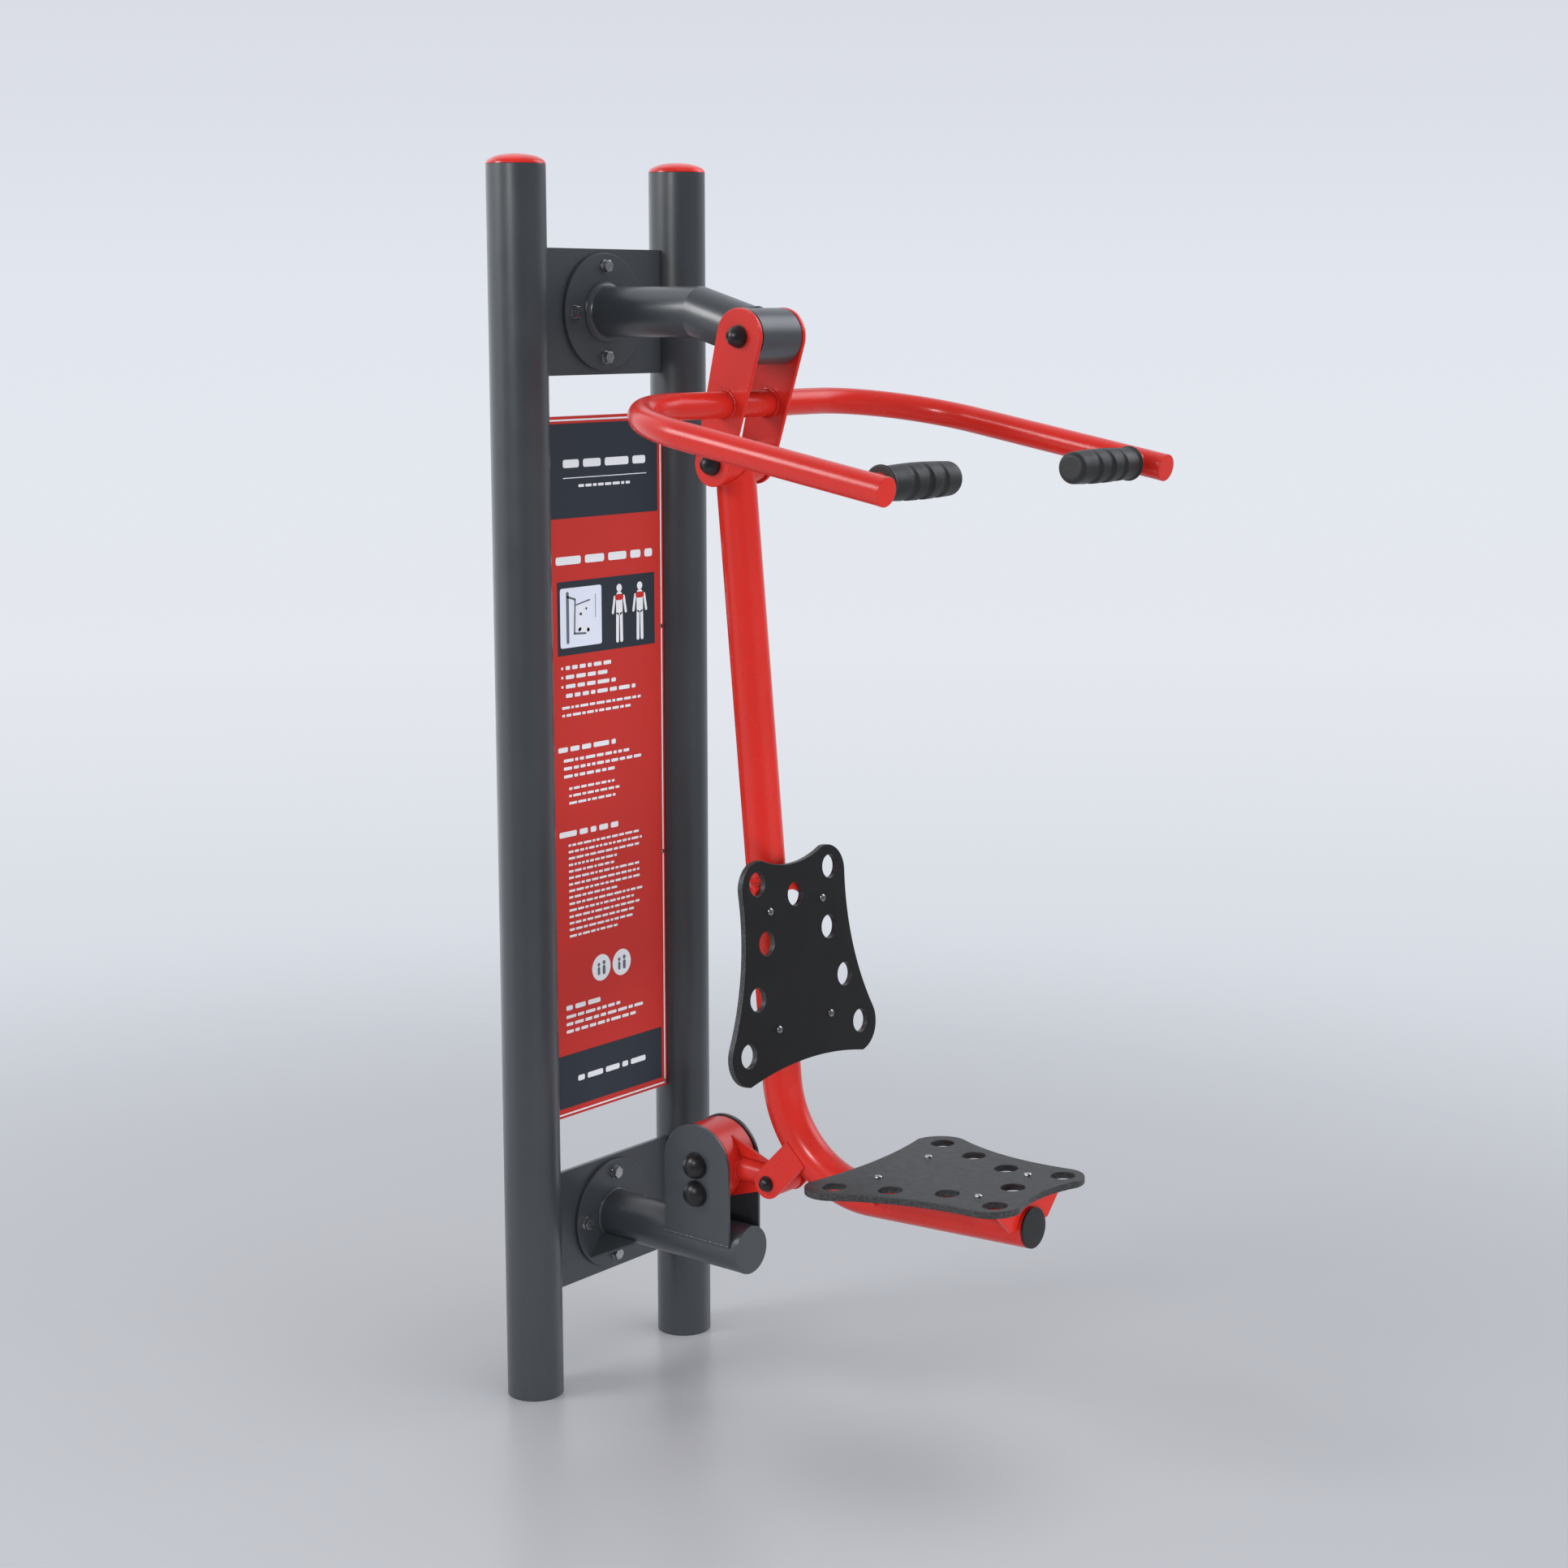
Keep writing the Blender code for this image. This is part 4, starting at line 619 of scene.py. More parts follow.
def swept(path, radius, sides=ROUND_SIDES, wall=None, closed=False, angle=SHARP_ANGLE):
    """A round tube along a path, mitred at its corners: solid, hollow, or closed to a ring."""
    solid = bmesh.new()
    count = len(path)
    loops = []
    side = None
    for index, point in enumerate(path):
        first, last = index == 0 and not closed, index == count - 1 and not closed
        into, out = ways(path, index)
        into, out = (out, out) if first else (into, into) if last else (into, out)
        across_cut = (into + out).normalized()
        if side is None:
            side = Vector((0, 1, 0)) if abs(into.y) < 0.9 else Vector((1, 0, 0))
        side = (side - into * side.dot(into)).normalized()
        other = into.cross(side)
        size = radius(index) if callable(radius) else radius
        loops.append([])
        for across in [size] if wall is None else [size, size - wall]:
            loops[-1].append([])
            for step in range(sides):
                turn = FULL_TURN * step / sides
                offset = (side * math.cos(turn) + other * math.sin(turn)) * across
                offset -= into * (offset.dot(across_cut) / into.dot(across_cut))
                loops[-1][-1].append(solid.verts.new(point + offset))
    for first, second in each_with_next(loops, closed):
        for start, end in zip(first, second):
            bridged(solid, start, end)
    for end in () if closed else (loops[0], loops[-1]):
        if wall is None:
            solid.faces.new(end[0])
        else:
            bridged(solid, *end)
    return piece_from(solid, angle)


def ways(points, index):
    """The directions into and out of a point of a closed line."""
    point = points[index]
    ahead = points[(index + 1) % len(points)]
    return (point - points[index - 1]).normalized(), (ahead - point).normalized()


def shifted(outline, inward):
    """The outline moved towards its inside by a small distance, or outwards where negative."""
    points = [Vector(point) for point in outline]
    area = sum(
        first.x * second.y - second.x * first.y
        for first, second in zip(points, points[1:] + points[:1])
    )
    inward = math.copysign(inward, inward * area)
    result = []
    for index, point in enumerate(points):
        into, out = ways(points, index)
        across = into + out
        result.append(point + Vector((-across.y, across.x)) * (inward / (1 + into.dot(out))))
    return result


def sheet(outline, low, high, holes=(), rounding=EDGE_ROUNDING):
    """A flat shape in local XY from low to high, with rounded edges at its rim and holes."""
    solid = bmesh.new()
    caps = ([], [])
    levels = []
    for step in range(EDGE_STEPS + 1):
        turn = QUARTER_TURN * step / EDGE_STEPS
        levels.append((rounding * (1 - math.sin(turn)), low + rounding * (1 - math.cos(turn))))
    levels += [(inset, low + high - level) for inset, level in reversed(levels)]
    for loop, way in ((outline, 1), *((hole, -1) for hole in holes)):
        rings = [
            [solid.verts.new((*point, level)) for point in shifted(loop, way * inset)]
            for inset, level in levels
        ]
        for lower, upper in each_with_next(rings):
            bridged(solid, lower, upper)
        caps[0].append(rings[0])
        caps[1].append(rings[-1])
    for cap in caps:
        verts = [vert for loop in cap for vert in loop]
        for corners in tessellate_polygon([[vert.co for vert in loop] for loop in cap]):
            solid.faces.new([verts[index] for index in corners])
    return piece_from(solid)


def arc(centre, radius, start, end, steps=SMALL_SIDES):
    angles = [start + (end - start) * step / steps for step in range(steps + 1)]
    x, y = centre
    return [(x + radius * math.cos(angle), y + radius * math.sin(angle)) for angle in angles]


def circle(centre, radius, sides=ROUND_SIDES):
    return arc(centre, radius, 0, FULL_TURN, sides)[:-1]


def rectangle(half_width, low, high):
    return [(-half_width, low), (half_width, low), (half_width, high), (-half_width, high)]


def softened(piece, rounding=EDGE_ROUNDING):
    """Joins a cut piece's facets and rounds its sharp edges."""
    solid = bmesh.new()
    solid.from_mesh(piece.data)
    bpy.data.objects.remove(piece)
    bmesh.ops.remove_doubles(solid, verts=solid.verts, dist=1e-5)
    flat = math.radians(1)
    bmesh.ops.dissolve_limit(solid, angle_limit=flat, verts=solid.verts, edges=solid.edges)
    folds = [edge for edge in solid.edges if len(edge.link_faces) == 2]
    sharp = [edge for edge in folds if edge.calc_face_angle(0) > SHARP_ANGLE]
    bevel = {"segments": 2, "profile": 0.5, "affect": "EDGES", "clamp_overlap": True}
    bmesh.ops.bevel(solid, geom=sharp, offset=rounding, **bevel)
    return piece_from(solid)


def joined(pieces):
    """One piece from several."""
    solid = bmesh.new()
    for piece in pieces:
        solid.from_mesh(piece.data)
        bpy.data.objects.remove(piece)
    return piece_from(solid)


def finished(piece, name, slot):
    piece.name = name
    piece.data.name = name
    piece.data.materials.clear()
    piece.data.materials.append(FINISHES.get(slot) or PRINTS[slot])
    if slot in FINISHES:
        normals = piece.modifiers.new("flat_faces", "WEIGHTED_NORMAL")
        normals.keep_sharp = True
    return piece


def stands_for(node, piece, place=None):
    """Puts a finer piece in a CAD node's place, on its body and with its finish."""
    if place:
        moved(piece, place)
    finished(piece, node + "_skin", SLOT_OF[node])
    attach(piece, frame["nodes"][node]["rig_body"])
    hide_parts(node)


def added(piece, name, body, slot):
    """A piece that the CAD leaves out, such as a bolt or a weld."""
    finished(piece, name, slot)
    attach(piece, body)
    return piece


# Finer forms for the CAD's nodes
def quarter(steps=DOME_STEPS):
    return [QUARTER_TURN * step / steps for step in range(steps + 1)]


def domed_cap(size):
    radius, rise = size
    dome = radius - CAP_RIM_WIDTH
    profile = [
        (dome * math.sin(turn), CAP_RIM_HEIGHT + (rise - CAP_RIM_HEIGHT) * math.cos(turn))
        for turn in quarter()
    ]
    rim = [(dome, CAP_RIM_HEIGHT), (radius, CAP_RIM_HEIGHT), (radius, 0), (0, 0)]
    return turned(profile[:-1] + eased(rim, CAP_EDGE))


def flanged_bush(bore, outer, rim):
    thick = BUSH_FLANGE_THICKNESS
    corners = [(rim, thick), (rim, 0), (outer, 0), (outer, -BUSH_LENGTH), (bore, -BUSH_LENGTH)]
    return turned(eased(corners + [(bore, thick)], BUSH_EDGE, closed=True), closed=True)


def axle(radius, shoulder, half_length):
    end = AXLE_END_RADIUS
    profile = [(0, half_length), (end, half_length), (end, shoulder), (radius, shoulder)]
    return turned(profile + [(across, -height) for across, height in reversed(profile)])


def bolt_holes():
    centres = [polar(BOLT_CIRCLE_RADIUS, QUARTER_TURN * index).xz for index in range(4)]
    return [circle(centre, BOLT_HOLE_RADIUS, SMALL_SIDES) for centre in centres]


def post_nodes():
    plug = POST_RADIUS - POST_WALL - GAP
    lid = [(POST_RADIUS * math.sin(turn), POST_CAP_RISE * math.cos(turn)) for turn in quarter()]
    lid += [(plug, 0), (plug, -POST_CAP_PLUG), (0, -POST_CAP_PLUG)]
    for side, sign in SIDES:
        foot = at(0, sign * POST_SPACING / 2, 0)
        post = ring(POST_RADIUS - POST_WALL, POST_RADIUS, 0, POST_HEIGHT)
        stands_for(side + "_post", post, foot)
        stands_for(side + "_post_cap", turned(lid, FINE_SIDES), foot @ at(0, 0, POST_HEIGHT + GAP))
    plate = rectangle(CROSS_HALF_WIDTH, -CROSS_PLATE_HALF_HEIGHT, CROSS_PLATE_HALF_HEIGHT)
    for level, height in (("upper", UPPER_ARM_Z), ("lower", LOWER_ARM_Z)):
        flat = sheet(plate, -PLATE_FACE_X, PLATE_FACE_X, bolt_holes())
        stands_for(level + "_cross_plate", flat, at(0, 0, height) @ ACROSS)
    panel = rectangle(CROSS_HALF_WIDTH, SIGN_LOW_Z, SIGN_HIGH_Z)
    stands_for("sign_panel", sheet(panel, -SIGN_FACE_X, SIGN_FACE_X), ACROSS)


def flange():
    return sheet(circle((0, 0), FLANGE_RADIUS, 128), FLANGE_BACK_X, FLANGE_FACE_X, bolt_holes())


def arm_nodes():
    stands_for("upper_flange", flange(), at(0, 0, UPPER_ARM_Z) @ ACROSS)
    path = [Vector((ARM_START_X, 0, UPPER_ARM_Z)), ARM_KNEE, UPPER_PIVOT]
    arm = swept(path, ARM_RADIUS, FINE_SIDES, ARM_WALL, angle=MITRE_ANGLE)
    saddle = saddle_drill(PIVOT_SLEEVE_RADIUS + GAP, UPPER_PIVOT, CUTTER_REACH)
    stands_for("upper_arm", cut(arm, saddle, angle=MITRE_ANGLE))
    sleeve = ring(PIVOT_SLEEVE_BORE, PIVOT_SLEEVE_RADIUS, -SLEEVE_HALF_LENGTH, SLEEVE_HALF_LENGTH)
    stands_for("pivot_sleeve", sleeve, lying(UPPER_PIVOT))

    middle = (FLANGE_BACK_X + FLANGE_FACE_X) / 2
    inner = ARM_RADIUS + GAP
    web = [
        (middle, inner),
        (GUSSET_REACH, inner),
        (GUSSET_REACH, inner + GUSSET_LAND),
        (FLANGE_FACE_X + GUSSET_LAND, GUSSET_RADIUS),
        (middle, GUSSET_RADIUS),
    ]
    root = at(0, 0, LOWER_ARM_Z)
    disc = moved(flange(), root @ ACROSS)
    for sign in (-1, 1):
        turn = spin("X", -QUARTER_TURN + sign * QUARTER_TURN / 2)
        cut(disc, moved(sheet(web, -GUSSET_HALF, GUSSET_HALF), root @ turn), "UNION")
    stands_for("lower_flange", disc)
    path = [Vector((x, 0, LOWER_ARM_Z)) for x in (ARM_START_X, LOWER_ARM_END_X - GAP)]
    stands_for("lower_arm", swept(path, ARM_RADIUS, FINE_SIDES, ARM_WALL))
    lid = rod(ARM_RADIUS, 0, DISC_THICKNESS, sides=FINE_SIDES)
    stands_for("lower_arm_end_plate", lid, root @ at(LOWER_ARM_END_X, 0, 0) @ FORWARD)


def bush_nodes():
    half, rim = SLEEVE_HALF_LENGTH, HUB_BOSS_RADIUS + BUSH_FLANGE_INSET
    for name, pivot, end, pin, bore, outer in (
        ("sleeve", UPPER_PIVOT, half, UPPER_AXLE_RADIUS, PIVOT_SLEEVE_BORE, PIVOT_SLEEVE_RADIUS),
        ("carriage", LOWER_PIVOT, half, AXLE_RADIUS, CARRIAGE_SLEEVE_BORE, CARRIAGE_SLEEVE_RADIUS),
        ("hub", HUB_PIVOT, HUB_HALF_WIDTH, AXLE_RADIUS, HUB_BORE, rim),
    ):
        for side, sign in SIDES:
            bush = flanged_bush(pin + GAP, bore - GAP, outer - BUSH_FLANGE_INSET)
            stands_for(f"{side}_{name}_bush", bush, facing(pivot, sign * (end + GAP), sign))


def pin_nodes():
    for name, place, radius, shoulder, half in (
        ("upper_axle", UPPER_PIVOT, UPPER_AXLE_RADIUS, LEVER_INNER_Y, LEVER_HALF_WIDTH),
        ("lower_axle", LOWER_PIVOT, AXLE_RADIUS, LEVER_INNER_Y, LEVER_HALF_WIDTH),
        ("hub_axle", HUB_PIVOT, AXLE_RADIUS, CHEEK_INNER_Y, CHEEK_HALF_WIDTH),
    ):
        stands_for(name, axle(radius, shoulder - GAP, half - GAP), lying(place))
    for name, place, radius, half in (
        ("stop_bolt", STOP_BOLT, STOP_BOLT_RADIUS, CHEEK_HALF_WIDTH),
        ("clevis_pin", CLEVIS_PIVOT, CLEVIS_PIN_RADIUS, CLEVIS_HALF_WIDTH),
    ):
        stands_for(name, rod(radius, GAP - half, half - GAP), lying(place))
    for name, place, size, half in (
        ("upper_pivot", UPPER_PIVOT, PIVOT_CAP, LEVER_HALF_WIDTH),
        ("lower_pivot", LOWER_PIVOT, PIVOT_CAP, LEVER_HALF_WIDTH),
        ("hub", HUB_PIVOT, HUB_CAP, CHEEK_HALF_WIDTH),
        ("stop", STOP_BOLT, HUB_CAP, CHEEK_HALF_WIDTH),
        ("clevis", CLEVIS_PIVOT, CLEVIS_CAP, CLEVIS_HALF_WIDTH),
    ):
        for side, sign in SIDES:
            seat = facing(place, sign * (half + GAP), sign)
            stands_for(f"{side}_{name}_cap", domed_cap(size), seat)


def cheek_nodes():
    foot = CHEEK_FOOT_Z - HUB_PIVOT.z
    outline = arc((0, 0), CHEEK_RADIUS, 0, HALF_TURN, ROUND_SIDES)
    outline += [(-CHEEK_RADIUS, foot), (CHEEK_RADIUS, foot)]
    holes = [
        circle((0, 0), AXLE_END_RADIUS + GAP),
        circle((0, -STOP_BOLT_DROP), STOP_BOLT_RADIUS + GAP),
    ]
    middle = (CHEEK_HALF_WIDTH + CHEEK_INNER_Y) / 2
    for side, sign in SIDES:
        flat = sheet(outline, -THIN_PLATE_HALF, THIN_PLATE_HALF, holes, CHEEK_EDGE)
        room = drill(ARM_RADIUS + GAP, 0, LOWER_ARM_END_X + CUTTER_REACH)
        cheek = moved(flat, lying(HUB_PIVOT, sign * middle))
        stands_for(side + "_cheek", cut(cheek, moved(room, at(0, 0, LOWER_ARM_Z) @ FORWARD)))


def lever_nodes():
    spread = math.acos((LEVER_UPPER_RADIUS - LEVER_LOWER_RADIUS) / LEVER_LENGTH)
    foot = polar(LEVER_LENGTH, LEVER_DOWN).xz
    start, end = LEVER_DOWN + spread, LEVER_DOWN + FULL_TURN - spread
    outline = arc((0, 0), LEVER_UPPER_RADIUS, start, end, 72)
    outline += arc(foot, LEVER_LOWER_RADIUS, LEVER_DOWN - spread, start, 56)
    holes = [
        circle((0, 0), AXLE_END_RADIUS + GAP),
        circle(foot, AXLE_END_RADIUS + GAP),
        circle(polar(BAR_FROM_PIVOT, LEVER_DOWN).xz, BAR_RADIUS + GAP, FINE_SIDES),
    ]
    open_end = BAR_LID - polar(GAP, -BAR_SLOPE)
    corners = [beside(place, -BAR_HALF_WIDTH) for place in (open_end, BAR_CENTRE)]
    corners += [beside(place, BAR_HALF_WIDTH) for place in (BAR_CENTRE, open_end)]
    tube = swept(rounded_path(corners, BAR_BEND_RADIUS), BAR_RADIUS, FINE_SIDES, BAR_WALL)
    stands_for("handlebar", tube)
    core_radius, core_length = GRIP_CORE
    stub_foot = GRIP_COLLAR_Y - BAR_HALF_WIDTH
    profile = [(0, core_length), (core_radius, core_length), (core_radius, -GAP)]
    profile += [(STUB_RADIUS, -GAP), (STUB_RADIUS, stub_foot), (0, stub_foot)]
    middle = (LEVER_HALF_WIDTH + LEVER_INNER_Y) / 2
    for side, sign in SIDES:
        flat = sheet(outline, -LEVER_PLATE_HALF, LEVER_PLATE_HALF, holes, LEVER_PLATE_EDGE)
        stands_for(side + "_link_plate", flat, lying(UPPER_PIVOT, sign * middle))
        lid = rod(BAR_RADIUS, 0, DISC_THICKNESS, BAR_LID_EDGE)
        stands_for(side + "_bar_end", lid, at(*beside(BAR_LID, sign * BAR_HALF_WIDTH)) @ ALONG_BAR)
        collar = facing(GRIP_AXIS, sign * GRIP_COLLAR_Y, -sign)
        room = drill(BAR_RADIUS + GAP, -CUTTER_REACH, CUTTER_REACH)
        moved(room, at(*beside(GRIP_AXIS, sign * BAR_HALF_WIDTH)) @ ALONG_BAR)
        stands_for(side + "_grip_stub", cut(moved(turned(profile), collar), room))
        stands_for(side + "_grip", grip(sign * FINGER_SIDE_ANGLE), collar)


def grip(finger_angle):
    """A collar, a swelling barrel with finger grooves on one side, and a rounded end."""
    tip = GRIP_LENGTH - GRIP_END_ROUNDING
    core_radius, core_length = GRIP_CORE[0] + GAP, GRIP_CORE[1] + GAP
    ring_radius = GRIP_RADIUS - GROOVE_DEPTH + GROOVE_ROUNDING + GROOVE_OFFSET
    profile = [(0, GRIP_LENGTH)]
    for turn in quarter(8):
        across = GRIP_TIP_RADIUS - GRIP_END_ROUNDING * (1 - math.sin(turn))
        profile.append((across, tip + GRIP_END_ROUNDING * math.cos(turn)))
    for step in range(1, GRIP_STEPS + 1):
        share = 1 - step / GRIP_STEPS
        swell = (GRIP_RADIUS - GRIP_NECK_RADIUS) * math.sin(HALF_TURN * share)
        swell += (GRIP_TIP_RADIUS - GRIP_NECK_RADIUS) * share
        height = GRIP_NECK_HEIGHT + (tip - GRIP_NECK_HEIGHT) * share
        profile.append((GRIP_NECK_RADIUS + swell, height))
    half = GRIP_COLLAR_LENGTH / 2
    profile += [(GRIP_NECK_RADIUS + 0.0002, 0.0074), (GRIP_NECK_RADIUS + 0.0007, 0.0060)]
    profile += arc((GRIP_COLLAR_RADIUS - half, half), half, QUARTER_TURN, -QUARTER_TURN, 12)
    profile += [(core_radius, 0), (core_radius, core_length), (0, core_length)]

    def shape(radius, height, angle):
        """Keeps the smaller of the barrel and the grooves' own round surfaces, softly."""
        if radius < GRIP_NECK_RADIUS:
            return radius
        for middle in GROOVE_HEIGHTS:
            away = abs(height - middle)
            if away < GROOVE_ROUNDING:
                inner = ring_radius - math.sqrt(GROOVE_ROUNDING**2 - away**2)
                ahead = GROOVE_OFFSET * math.cos(angle - finger_angle)
                side = GROOVE_OFFSET * math.sin(angle - finger_angle)
                excess = (radius - math.sqrt(inner**2 - side**2) + ahead) / GROOVE_SOFTNESS
                radius -= GROOVE_SOFTNESS * math.log(1 + math.exp(excess))
        return radius

    return turned(profile, ROUND_SIDES, shape=shape)


def seat_tube_path():
    start = LOWER_PIVOT + polar(SEAT_TUBE_TOP_DROP, SEAT_TUBE_LEAN - QUARTER_TURN)
    end = SEAT_CORNER + polar(SEAT_LEG_LENGTH, SEAT_LEG_RISE)
    return rounded_path([start, SEAT_CORNER, end], SEAT_TUBE_BEND)


def seat_nodes():
    half = SLEEVE_HALF_LENGTH
    sleeve = ring(CARRIAGE_SLEEVE_BORE, CARRIAGE_SLEEVE_RADIUS, -half, half)
    stands_for("carriage_sleeve", sleeve, lying(LOWER_PIVOT))
    leg = swept(seat_tube_path(), SEAT_TUBE_RADIUS, FINE_SIDES, SEAT_TUBE_WALL)
    saddle = saddle_drill(CARRIAGE_SLEEVE_RADIUS + GAP, LOWER_PIVOT, CUTTER_REACH)
    stands_for("seat_tube", cut(leg, saddle))
    outer, bore = SEAT_TUBE_RADIUS, SEAT_TUBE_RADIUS - SEAT_TUBE_WALL - GAP
    inner = bore - PLUG_WALL
    lid = [(0, PLUG_THICKNESS), (outer, PLUG_THICKNESS), (outer, GAP), (bore, GAP)]
    plug = eased(lid, PLUG_EDGE)
    plug += [(bore, -PLUG_DEPTH), (inner, -PLUG_DEPTH), (inner, GAP), (0, GAP)]
    place = SEAT_PLANE @ at(SEAT_LEG_LENGTH, 0, 0) @ FORWARD
    stands_for("seat_tube_plug", turned(plug, FINE_SIDES), place)


def sagitta(radius, half_chord):
    return radius - math.sqrt(radius**2 - half_chord**2)


def circles_meet(first, first_radius, second, second_radius, side):
    """Where two circles meet, on the left (1) or right (-1) of first to second."""
    first, second = Vector(first), Vector(second)
    apart = (second - first).length
    along = (apart**2 + first_radius**2 - second_radius**2) / (2 * apart)
    across = side * math.sqrt(first_radius**2 - along**2)
    ahead = (second - first) / apart
    return first + ahead * along + Vector((-ahead.y, ahead.x)) * across


def angle_from(centre, point):
    return math.atan2(point[1] - centre[1], point[0] - centre[0])


def lobe(index, way, inset):
    """The centre of a corner lobe at the pad's wide (0) or narrow (1) end."""
    across = LOBE_ACROSS[index]
    hollow = sagitta(PAD_END_RADII[index], across) - LOBE_RADII[index]
    return (PAD_ENDS[index] + way * hollow + inset, across)


WIDE_LOBE = lobe(0, -1, -0.0020)
NARROW_LOBE = lobe(1, 1, -0.0026)


def pad_outline():
    """Lobes at the corners, drawn-in sides and hollow ends."""
    (wide_radius, narrow_radius), waist = LOBE_RADII, PAD_WAIST_RADIUS
    side = circles_meet(WIDE_LOBE, waist + wide_radius, NARROW_LOBE, waist + narrow_radius, 1)
    (wide, narrow), (wide_hollow, narrow_hollow) = PAD_ENDS, PAD_END_RADII
    wide_end, narrow_end = (wide - wide_hollow, 0), (narrow + narrow_hollow, 0)
    wide_corner = circles_meet(wide_end, wide_hollow, WIDE_LOBE, wide_radius, 1)
    narrow_corner = circles_meet(narrow_end, narrow_hollow, NARROW_LOBE, narrow_radius, -1)
    first, last = angle_from(side, WIDE_LOBE), angle_from(side, NARROW_LOBE)
    wide_start = angle_from(WIDE_LOBE, wide_corner)
    narrow_stop = angle_from(NARROW_LOBE, narrow_corner)
    half = []
    for centre, radius, start, end in (
        (wide_end, wide_hollow, 0, angle_from(wide_end, wide_corner)),
        (WIDE_LOBE, wide_radius, wide_start, first + HALF_TURN),
        (side, waist, first, last),
        (NARROW_LOBE, narrow_radius, last + HALF_TURN, narrow_stop),
        (narrow_end, narrow_hollow, angle_from(narrow_end, narrow_corner), HALF_TURN),
    ):
        half += arc(centre, radius, start, end, 28)[:-1]
    half.append((narrow, 0))
    return half + [(station, -across) for station, across in reversed(half[1:-1])]


def pad_holes():
    places = [(0.2216, 0)]
    for sign in (-1, 1):
        places.append((NARROW_LOBE[0] + 0.0082, sign * (NARROW_LOBE[1] + 0.0068)))
        for row in range(3):
            across = WIDE_LOBE[1] + 0.0058 - row * 0.0301
            places.append((WIDE_LOBE[0] + 0.003 + row * 0.0794, sign * across))
    return [circle(place, PAD_HOLE_RADIUS) for place in places]


def bracket(plane, toward):
    """A folded plate: notched flange under the pad and a web that narrows to the tube."""
    top = PAD_OFFSET - PAD_THICKNESS - GAP
    fold = (BRACKET_FOLD, top - BRACKET_FOLD)
    points = [(0, 0)]
    points += arc(fold, BRACKET_FOLD, HALF_TURN, QUARTER_TURN, 10)
    points += [(BRACKET_FLANGE, top), (BRACKET_FLANGE, top - BRACKET_THICKNESS)]
    points += arc(fold, BRACKET_FOLD - BRACKET_THICKNESS, QUARTER_TURN, HALF_TURN, 10)
    points += [(BRACKET_THICKNESS, 0)]
    section = [(toward * along, height) for along, height in points]
    wide, reach = BRACKET_HALF_WIDTH, CUTTER_REACH
    length = wide + BRACKET_THICKNESS
    folded = moved(sheet(section, -length, length, rounding=CUTTER_ROUNDING), UPRIGHT)
    edge = PAD_OFFSET - PAD_THICKNESS - BRACKET_SHOULDER_DROP
    foot, rise = BRACKET_FOOT_HALF_WIDTH, BRACKET_FOOT_HEIGHT
    face = [(-foot, rise), (foot, rise), (wide, edge), (wide, reach), (-wide, reach), (-wide, edge)]
    web = sheet(face, -reach, reach, rounding=CUTTER_ROUNDING)
    cut(folded, moved(web, ACROSS), "INTERSECT")
    cut(folded, moved(drill(SEAT_TUBE_RADIUS + GAP, -reach, reach), FORWARD))
    notch = toward * (BRACKET_FLANGE + BRACKET_NOTCH - BRACKET_NOTCH_DEPTH)
    cut(folded, moved(drill(BRACKET_NOTCH, 0, reach), at(notch, 0, 0)))
    return moved(softened(folded, BRACKET_EDGE), plane)


def pad_nodes():
    for pad, plane, first, second in PADS:
        low = PAD_OFFSET - PAD_THICKNESS
        flat = sheet(pad_outline(), low, PAD_OFFSET, pad_holes(), PAD_EDGE)
        # Marks the side walls that the board paints lighter: the crumbly sawn cut and a painted
        # highlight along the rim
        edge = flat.data.attributes.new("sawn_edge_and_highlight", "FLOAT", "POINT")
        middle, reach = PAD_OFFSET - PAD_THICKNESS / 2, PAD_THICKNESS / 2 - SAWN_EDGE_AND_HIGHLIGHT_INSET
        for vertex, share in zip(flat.data.vertices, edge.data):
            share.value = float(abs(vertex.co.z - middle) < reach)
        stands_for(pad + "_plate", flat, plane)
        for name, station, toward in zip((first, second), BRACKET_STATIONS, (-1, 1)):
            stands_for(f"{pad}_{name}_bracket", bracket(plane @ at(station, 0, 0), toward))


def clevis_nodes():
    outline = arc((0, 0), CLEVIS_RADIUS, QUARTER_TURN, QUARTER_TURN + HALF_TURN)
    outline += [(CLEVIS_LENGTH, -CLEVIS_RADIUS), (CLEVIS_LENGTH, CLEVIS_RADIUS)]
    middle = (CLEVIS_HALF_WIDTH + CLEVIS_INNER_Y) / 2
    for side, sign in SIDES:
        holes = [circle((0, 0), CLEVIS_PIN_RADIUS + GAP)]
        ear = sheet(outline, -THIN_PLATE_HALF, THIN_PLATE_HALF, holes)
        moved(ear, at(*beside(CLEVIS_PIVOT, sign * middle)) @ spin("Y", -CLEVIS_ANGLE) @ UPRIGHT)
        room = swept(seat_tube_path(), SEAT_TUBE_RADIUS + GAP, FINE_SIDES)
        stands_for(side + "_clevis_plate", cut(ear, room))


